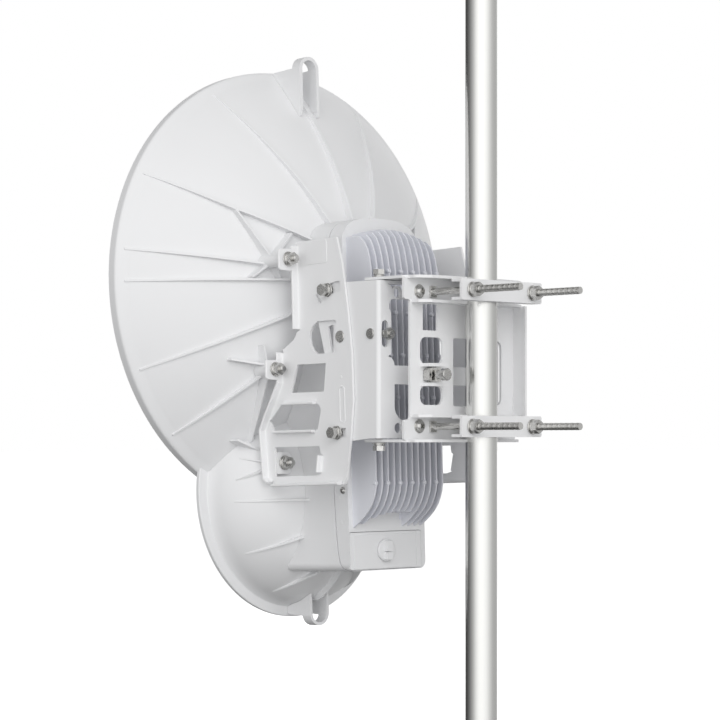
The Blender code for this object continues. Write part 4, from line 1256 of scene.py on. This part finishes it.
def plate_space(gap):
    line = [(y + gap, z - gap * 0.6) for y, z in SEAM] + [(168.4 + gap, 362), (168.4 + gap, 690)]
    return sheet([(120, 690), (120, SEAM[0][1] - gap * 0.6)] + line, [], "X", -80, 80)


class ANTENNA_OT_housing(AntennaOperator, bpy.types.Operator):
    """Builds the housing between the reflectors and the finned cover"""
    bl_idname = "antenna.housing"
    bl_label = "Housing"

    def build(self, settings):
        flare = ((148.6, 0), (180, 0.3), (198, 1.2), (215, 2.6), (235, 3.4), (262, 4.5))
        body = lofted([(y, arch(COVER_HALF_X + wider, COVER_TOP + wider * 0.4, COVER_FOOT))
                       for y, wider in flare])
        body = combine(body, cuts=[plate_space(1.3), main_space(), small_space()])
        core = sheet(arch(COVER_HALF_X - 2.4, COVER_TOP - 2.4, COVER_FOOT + 6), [], "Y", 160, 176)
        piece("radio_housing", body, "dish_plastic", "antenna", ["hub_housing"], edge=0.5)
        piece("seam_seal", core, "cover_casting", "antenna", edge=0)


class ANTENNA_OT_finned_cover(AntennaOperator, bpy.types.Operator):
    """Builds the cast cover with its cooling fins, pads, plugs and screws"""
    bl_idname = "antenna.finned_cover"
    bl_label = "Finned cover"

    def build(self, settings):
        thick, count = settings.cover.fin_thickness / MM, settings.cover.fin_count
        plate = sheet(arch(COVER_HALF_X, COVER_TOP, COVER_FOOT), [], "Y", COVER_REAR, COVER_FRONT)
        recess = slab(-57.9, 52.0, 275.2, 317.0, 2.4, COVER_REAR - 1, COVER_REAR + 3.4)
        plate = combine(combine(plate, within=[plate_space(0)]), cuts=[recess])
        piece("cover_plate", plate, "dish_plastic", "antenna", ["finned_cover"], edge=2.0)
        floor = eased([(149.5, 636), (136, 632), (126, 620), (122, 606), (127, 588), (138, 556), (144, 530),
                       (144, 346), (149.5, 322)], 6)
        floor = sheet(floor, [], "X", -FIN_HALF_X + 0.5, FIN_HALF_X - 0.5)
        fin = [(149.5, 635.6), (140, 636), (133, 635.6), (126.7, 634), (120.4, 628.6), (115.6, 620.4),
               (112.6, 611), (FIN_REAR, 600), (FIN_REAR, 368), (112.6, 359.6), (115, 353), (118.8, 345.4),
               (124.3, 338.6), (130, 333.4), (136, 328.8), (142, 324.8), (149.5, 320.6)]
        mesh = mesh_from(sheet(fin, [], "X", -thick / 2, thick / 2), "fin")
        pitch = (2 * FIN_HALF_X - thick) / (count - 1)
        values = {"Count": count, "Pitch": pitch, "Rise": 10.4, "Rise from": 612.0, "Half width": FIN_HALF_X}
        rows = rule_of("row_of_fins", row_rule).run("fins", mesh, "cover_casting", values)
        scoop = [(-46.2, 316), (-46.2, 322), (-40, 328), (-30, 333.2), (-18, 336.4), (-4, 338.2), (8, 338),
                 (18.5, 335.6), (18.5, 316)]
        rows = combine(rows, cuts=[sheet(scoop, [], "Y", FIN_REAR - 8, COVER_REAR + 0.4)])
        piece("cover_fins", rows, "cover_casting", "antenna", edge=0.35)
        well = sheet(scoop, [], "Y", 120, COVER_REAR + 0.4)
        piece("cover_floor", combine(floor, cuts=[well]), "cover_casting", "antenna", edge=0.6)
        first = -FIN_HALF_X + thick / 2
        pads = []
        for row, z in enumerate((369, 415, 461.5, 507, 553, 598)):
            pads += [(first + i * pitch, 0, z, "+Y", 0) for i in range(row % 2, count, 2)]
        pad = [(0, FIN_REAR - 0.6), (1.9, FIN_REAR - 0.6), (2.5, FIN_REAR), (2.5, FIN_REAR + 3),
               (0, FIN_REAR + 6)]
        copies("cover_pads", revolve(pad, 0, 16), pads, "cover_casting", "antenna")
        self.small_things()

    def small_things(self):
        """Screws and plug marks round the rim of the cover."""
        side = COVER_HALF_X + 0.1
        marks = [(s * side, y, z, OUTWARD[s], 0)
                 for _, s in SIDES for y, z in ((158.3, 354.8), (156, 328.6), (157, 626))]
        marks.append((-1.4, COVER_REAR, 650.6, "-Y", 0))
        ring = revolve([(2.3, -0.3), (3.0, -0.3), (3.0, 0.12), (2.3, 0.12)], 0, 32)
        copies("cover_plugs", ring, marks, "dish_plastic", "antenna")
        screws = [(s * side, 155.6, 362.3, OUTWARD[s], 20) for _, s in SIDES]
        screw = joined([cross_screw(3.2, 2.6), disc(4.0, -0.2, 0.5, 2.0)])
        copies("cover_screws", screw, screws, "hardware", "antenna")


class ANTENNA_OT_port_door(AntennaOperator, bpy.types.Operator):
    """Builds the port door and its knob"""
    bl_idname = "antenna.port_door"
    bl_label = "Port door"

    def build(self, settings):
        door = slab(-57.4, 51.4, 275.8, 316.3, 2.2, COVER_REAR - 0.4, COVER_REAR + 3.0)
        step = slab(-52, 44, 274, 318, 1, COVER_REAR - 2, COVER_REAR)
        middle = slab(-51.4, 43.4, 276.6, 313.6, 1.4, COVER_REAR - 0.6, COVER_REAR + 2.0)
        door = combine(combine(door, cuts=[step]), adds=[middle])
        piece("door_of_ports", door, "dish_plastic", "antenna", ["port_door"], edge=0.4)
        x, z = -5.0, 296.0
        knob = [moved(disc(12.4, COVER_REAR - 4.6, COVER_REAR - 0.9, 0, 0.7), x, 0, z)]
        for low, high in ((z - 10.4, z - 2.0), (z - 1.3, z + 10.4)):
            knob.append(slab(x - 4.8, x + 4.8, low, high, 1.4, COVER_REAR - 9.0, COVER_REAR - 4.0))
        piece("knob_of_door", joined(knob), "dish_plastic", "antenna", ["door_knob"], edge=0.6)


LUG_HALF = 14.5


def lug(up, apex, leg_end, rear, front, inner, plate, dish):
    """A loop of bar across Y on two side plates, given as (y, z), cut off where a dish is."""
    centre, count = apex - up * LUG_HALF, 28
    points = [(LUG_HALF, leg_end)] + arc(0, centre, LUG_HALF, 0, up * 180, count)
    points += [(-LUG_HALF, leg_end), (-inner, leg_end)]
    points += arc(0, centre, inner, 180, -up * 180, count) + [(inner, leg_end)]
    plates = []
    for _, s in SIDES:
        faces = sorted((s * (LUG_HALF - 0.1), s * (LUG_HALF - 3.1)))
        plates.append(sheet(eased(plate, 3), [], "X", *faces))
    return combine(sheet(points, [], "Y", rear, front), plates, [dish])


class ANTENNA_OT_lifting_lugs(AntennaOperator, bpy.types.Operator):
    """Builds the lifting lugs at the top and the foot of the dishes"""
    bl_idname = "antenna.lifting_lugs"
    bl_label = "Lifting lugs"

    def build(self, settings):
        plate = [(255.4, 786), (255.4, 841.8), (301.6, 840.4), (301.6, 824), (285, 786)]
        body = lug(1, 854.4, 793, 255, 268, 10.5, plate, main_space())
        piece("lug_top", body, "dish_plastic", "antenna", ["lifting_lug_top"], edge=0.7)
        plate = [(259.9, 250), (259.9, 221.9), (296, 224.5), (300.5, 232), (300, 256)]
        body = lug(-1, 211.5, 243, 259.5, 273, 11.0, plate, small_space())
        piece("lug_foot", body, "dish_plastic", "antenna", ["lifting_lug_foot"], edge=0.7)


class ANTENNA_OT_feeds(AntennaOperator, bpy.types.Operator):
    """Builds the feed tubes with their discs, in front of each dish"""
    bl_idname = "antenna.feeds"
    bl_label = "Feeds"

    def build(self, settings):
        rows = (("main", MAIN_Z, MAIN_BACK + 4.2, MAIN_BACK + 135.6, 9.0, 27.0, 1.6),
                ("small", SMALL_Z, SMALL_BACK + 4.2, SMALL_BACK + 66.0, 8.0, 17.0, 2.2))
        for name, z, back, focus, tube, wide, lift in rows:
            profile = [(0, back + 0.3), (tube + 8, back + 0.3 + lift), (tube + 8, back + 7),
                       (tube + 7, back + 8), (tube + 1, back + 11), (tube, back + 12.5), (tube, focus - 14),
                       (wide * 0.55, focus - 5), (wide - 0.8, focus - 0.4), (wide, focus + 0.5),
                       (wide, focus + 2.5), (wide - 0.8, focus + 3.4), (wide * 0.7, focus + 6),
                       (0, focus + 7)]
            bm = turned(name + "_feed_profile", profile, z, 64, "feed_plastic")
            piece(name + "_feed_tube", bm, "feed_plastic", "antenna", [name + "_feed"], edge=0)


# Brightness of the room round the object, by the angle to the right of the camera, and by height
CAMERA_SIDE = 225.9
ROOM_BY_SIDE = ((-180, 0.95), (-172, 0.55), (-160, 0.10), (-142, 0.06), (-123, 0.07), (-97, 0.18),
                (-77, 0.36), (-59, 0.58), (-46, 0.86), (-27, 1.14), (-13, 1.24), (8, 1.24), (32, 1.10),
                (48, 0.92), (64, 0.72), (83, 0.54), (104, 0.47), (142, 0.46), (158, 0.95), (179, 0.95))
ROOM_ROUND = [(CAMERA_SIDE + side + 180, grey) for side, grey in ROOM_BY_SIDE]
# The two ends of the ring meet in one grey
ROOM_ROUND += [(0.01, 0.87), (359.99, 0.87)]
ROOM_UP = ((-1.0, 0.08), (-0.6, 0.22), (-0.25, 0.88), (0.0, 1.02), (0.35, 1.06), (0.65, 0.76), (1.0, 0.42))
ROOM_POWER = 1.15
# Lamps as name, place in metres, width and power
LAMPS = (("key", (-1.5, -2.7, 2.0), 1.6, 15), ("front", (0.9, 3.0, 1.3), 2.4, 38))
OBJECT_MIDDLE = (0, 0.1, 0.5)
CAMERA_AT, CAMERA_AIM = (-1.8495, -1.7250, 0.4164), (0.6959, 0.7181, 0.0)
CAMERA_LENS, CAMERA_SENSOR, CAMERA_SHIFT = 120.0, 36.0, 79.0 / 720.0


class ANTENNA_OT_stage(AntennaOperator, bpy.types.Operator):
    """Sets the pale floor, the soft studio light and the camera"""
    bl_idname = "antenna.stage"
    bl_label = "Stage"

    def build(self, settings):
        scene = bpy.context.scene
        half = 60.0
        mesh = bpy.data.meshes.new("floor")
        corners = [(-half, -half, 0), (half, -half, 0), (half, half, 0), (-half, half, 0)]
        mesh.from_pydata(corners, [], [(0, 1, 2, 3)])
        mat = bpy.data.materials.new("pale_floor")
        mat.use_nodes = True
        inputs = mat.node_tree.nodes["Principled BSDF"].inputs
        for key, value in (("Base Color", (0.9, 0.9, 0.9, 1)), ("Roughness", 1.0),
                           ("Specular IOR Level", 0.0), ("Emission Color", (1, 1, 1, 1)),
                           ("Emission Strength", 0.6)):
            inputs[key].default_value = value
        mesh.materials.append(mat)
        floor = linked("floor", mesh)
        floor.location.z = -0.0005
        floor.visible_diffuse = floor.visible_glossy = floor.visible_shadow = False
        scene.world = self.studio()
        self.light()
        scene.view_settings.view_transform = "Standard"
        lens = bpy.data.cameras.new("camera")
        lens.lens, lens.sensor_width, lens.sensor_fit = CAMERA_LENS, CAMERA_SENSOR, "HORIZONTAL"
        lens.shift_y = CAMERA_SHIFT
        camera = linked("camera", lens)
        camera.location = CAMERA_AT
        camera.rotation_euler = Vector(CAMERA_AIM).to_track_quat("-Z", "Y").to_euler()
        scene.camera = camera

    def light(self):
        for name, place_at, size, power in LAMPS:
            lamp = bpy.data.lights.new(name, "AREA")
            lamp.shape, lamp.size, lamp.energy = "DISK", size, power
            obj = linked(name, lamp)
            obj.location = place_at
            aim = Vector(OBJECT_MIDDLE) - Vector(place_at)
            obj.rotation_euler = aim.to_track_quat("-Z", "Y").to_euler()
            obj.visible_glossy = False

    def studio(self):
        """A white room for the camera; for the object, soft boxes round it with darker corners between."""
        world = bpy.data.worlds.new("studio")
        world.use_nodes = True
        tree, nodes = Tree(world.node_tree), world.node_tree.nodes
        facing = tree.add("ShaderNodeTexCoord").outputs["Generated"]
        x, y, z = tree.parts(facing)
        angle = tree.out("ShaderNodeMath", {0: y, 1: x}, operation="ARCTAN2")
        by_side = self.ramp(tree, angle, math.pi, [((az % 360) / 360, grey) for az, grey in ROOM_ROUND])
        by_height = self.ramp(tree, z, 1.0, [((up + 1) / 2, grey) for up, grey in ROOM_UP])
        both = tree.add("ShaderNodeMix", {0: 1.0, 6: by_side, 7: by_height}, data_type="RGBA",
                        blend_type="MULTIPLY")
        room = nodes["Background"]
        tree.give(room.inputs["Color"], both.outputs[2])
        tree.give(room.inputs["Strength"], ROOM_POWER)
        white = tree.add("ShaderNodeBackground", {"Strength": 1.0, "Color": (1, 1, 1, 1)})
        seen = tree.add("ShaderNodeLightPath").outputs["Is Camera Ray"]
        pick = tree.add("ShaderNodeMixShader", {0: seen, 1: room.outputs[0], 2: white.outputs[0]})
        tree.give(nodes["World Output"].inputs["Surface"], pick.outputs[0])
        return world

    def ramp(self, tree, value, reach, stops):
        """Grey by a value between minus and plus its reach."""
        share = tree.out("ShaderNodeMapRange", {"Value": value, "From Min": -reach, "From Max": reach})
        made = tree.add("ShaderNodeValToRGB", {0: share})
        first, *between, last = sorted(stops)
        elements = made.color_ramp.elements
        for element, (at, grey) in zip(list(elements), (first, last)):
            element.position, element.color = at, (grey, grey, grey, 1)
        for at, grey in between:
            elements.new(at).color = (grey, grey, grey, 1)
        return made.outputs[0]


OPERATORS = (ANTENNA_OT_finishes, ANTENNA_OT_pole, ANTENNA_OT_clamps, ANTENNA_OT_clamp_hardware,
             ANTENNA_OT_pole_bracket, ANTENNA_OT_azimuth_hardware, ANTENNA_OT_alignment_bracket,
             ANTENNA_OT_elevation_hardware, ANTENNA_OT_side_arms, ANTENNA_OT_stud_nuts,
             ANTENNA_OT_main_reflector, ANTENNA_OT_small_reflector, ANTENNA_OT_housing,
             ANTENNA_OT_finned_cover, ANTENNA_OT_port_door, ANTENNA_OT_lifting_lugs, ANTENNA_OT_feeds,
             ANTENNA_OT_stage)


class ANTENNA_PT_panel(bpy.types.Panel):
    """Lists the steps that build the antenna"""
    bl_label = "Bridge antenna"
    bl_idname = "ANTENNA_PT_panel"
    bl_space_type = "VIEW_3D"
    bl_region_type = "UI"
    bl_category = "Antenna"

    def draw(self, context):
        settings = context.scene.bridge_antenna
        for group in (settings.dish, settings.cover, settings.clamp, settings.finish):
            for prop in group.bl_rna.properties:
                if not prop.is_readonly and prop.identifier != "name":
                    self.layout.prop(group, prop.identifier)
        for operator in OPERATORS:
            self.layout.operator(operator.bl_idname)


CLASSES = (DishSizes, CoverSizes, ClampSizes, Finishes, AntennaSettings, *OPERATORS, ANTENNA_PT_panel)


def register():
    for cls in CLASSES:
        bpy.utils.register_class(cls)
    bpy.types.Scene.bridge_antenna = PointerProperty(type=AntennaSettings)


def unregister():
    del bpy.types.Scene.bridge_antenna
    for cls in reversed(CLASSES):
        bpy.utils.unregister_class(cls)


def main():
    register()
    for operator in OPERATORS:
        group, name = operator.bl_idname.split(".")
        getattr(getattr(bpy.ops, group), name)()


if __name__ == "__main__":
    main()
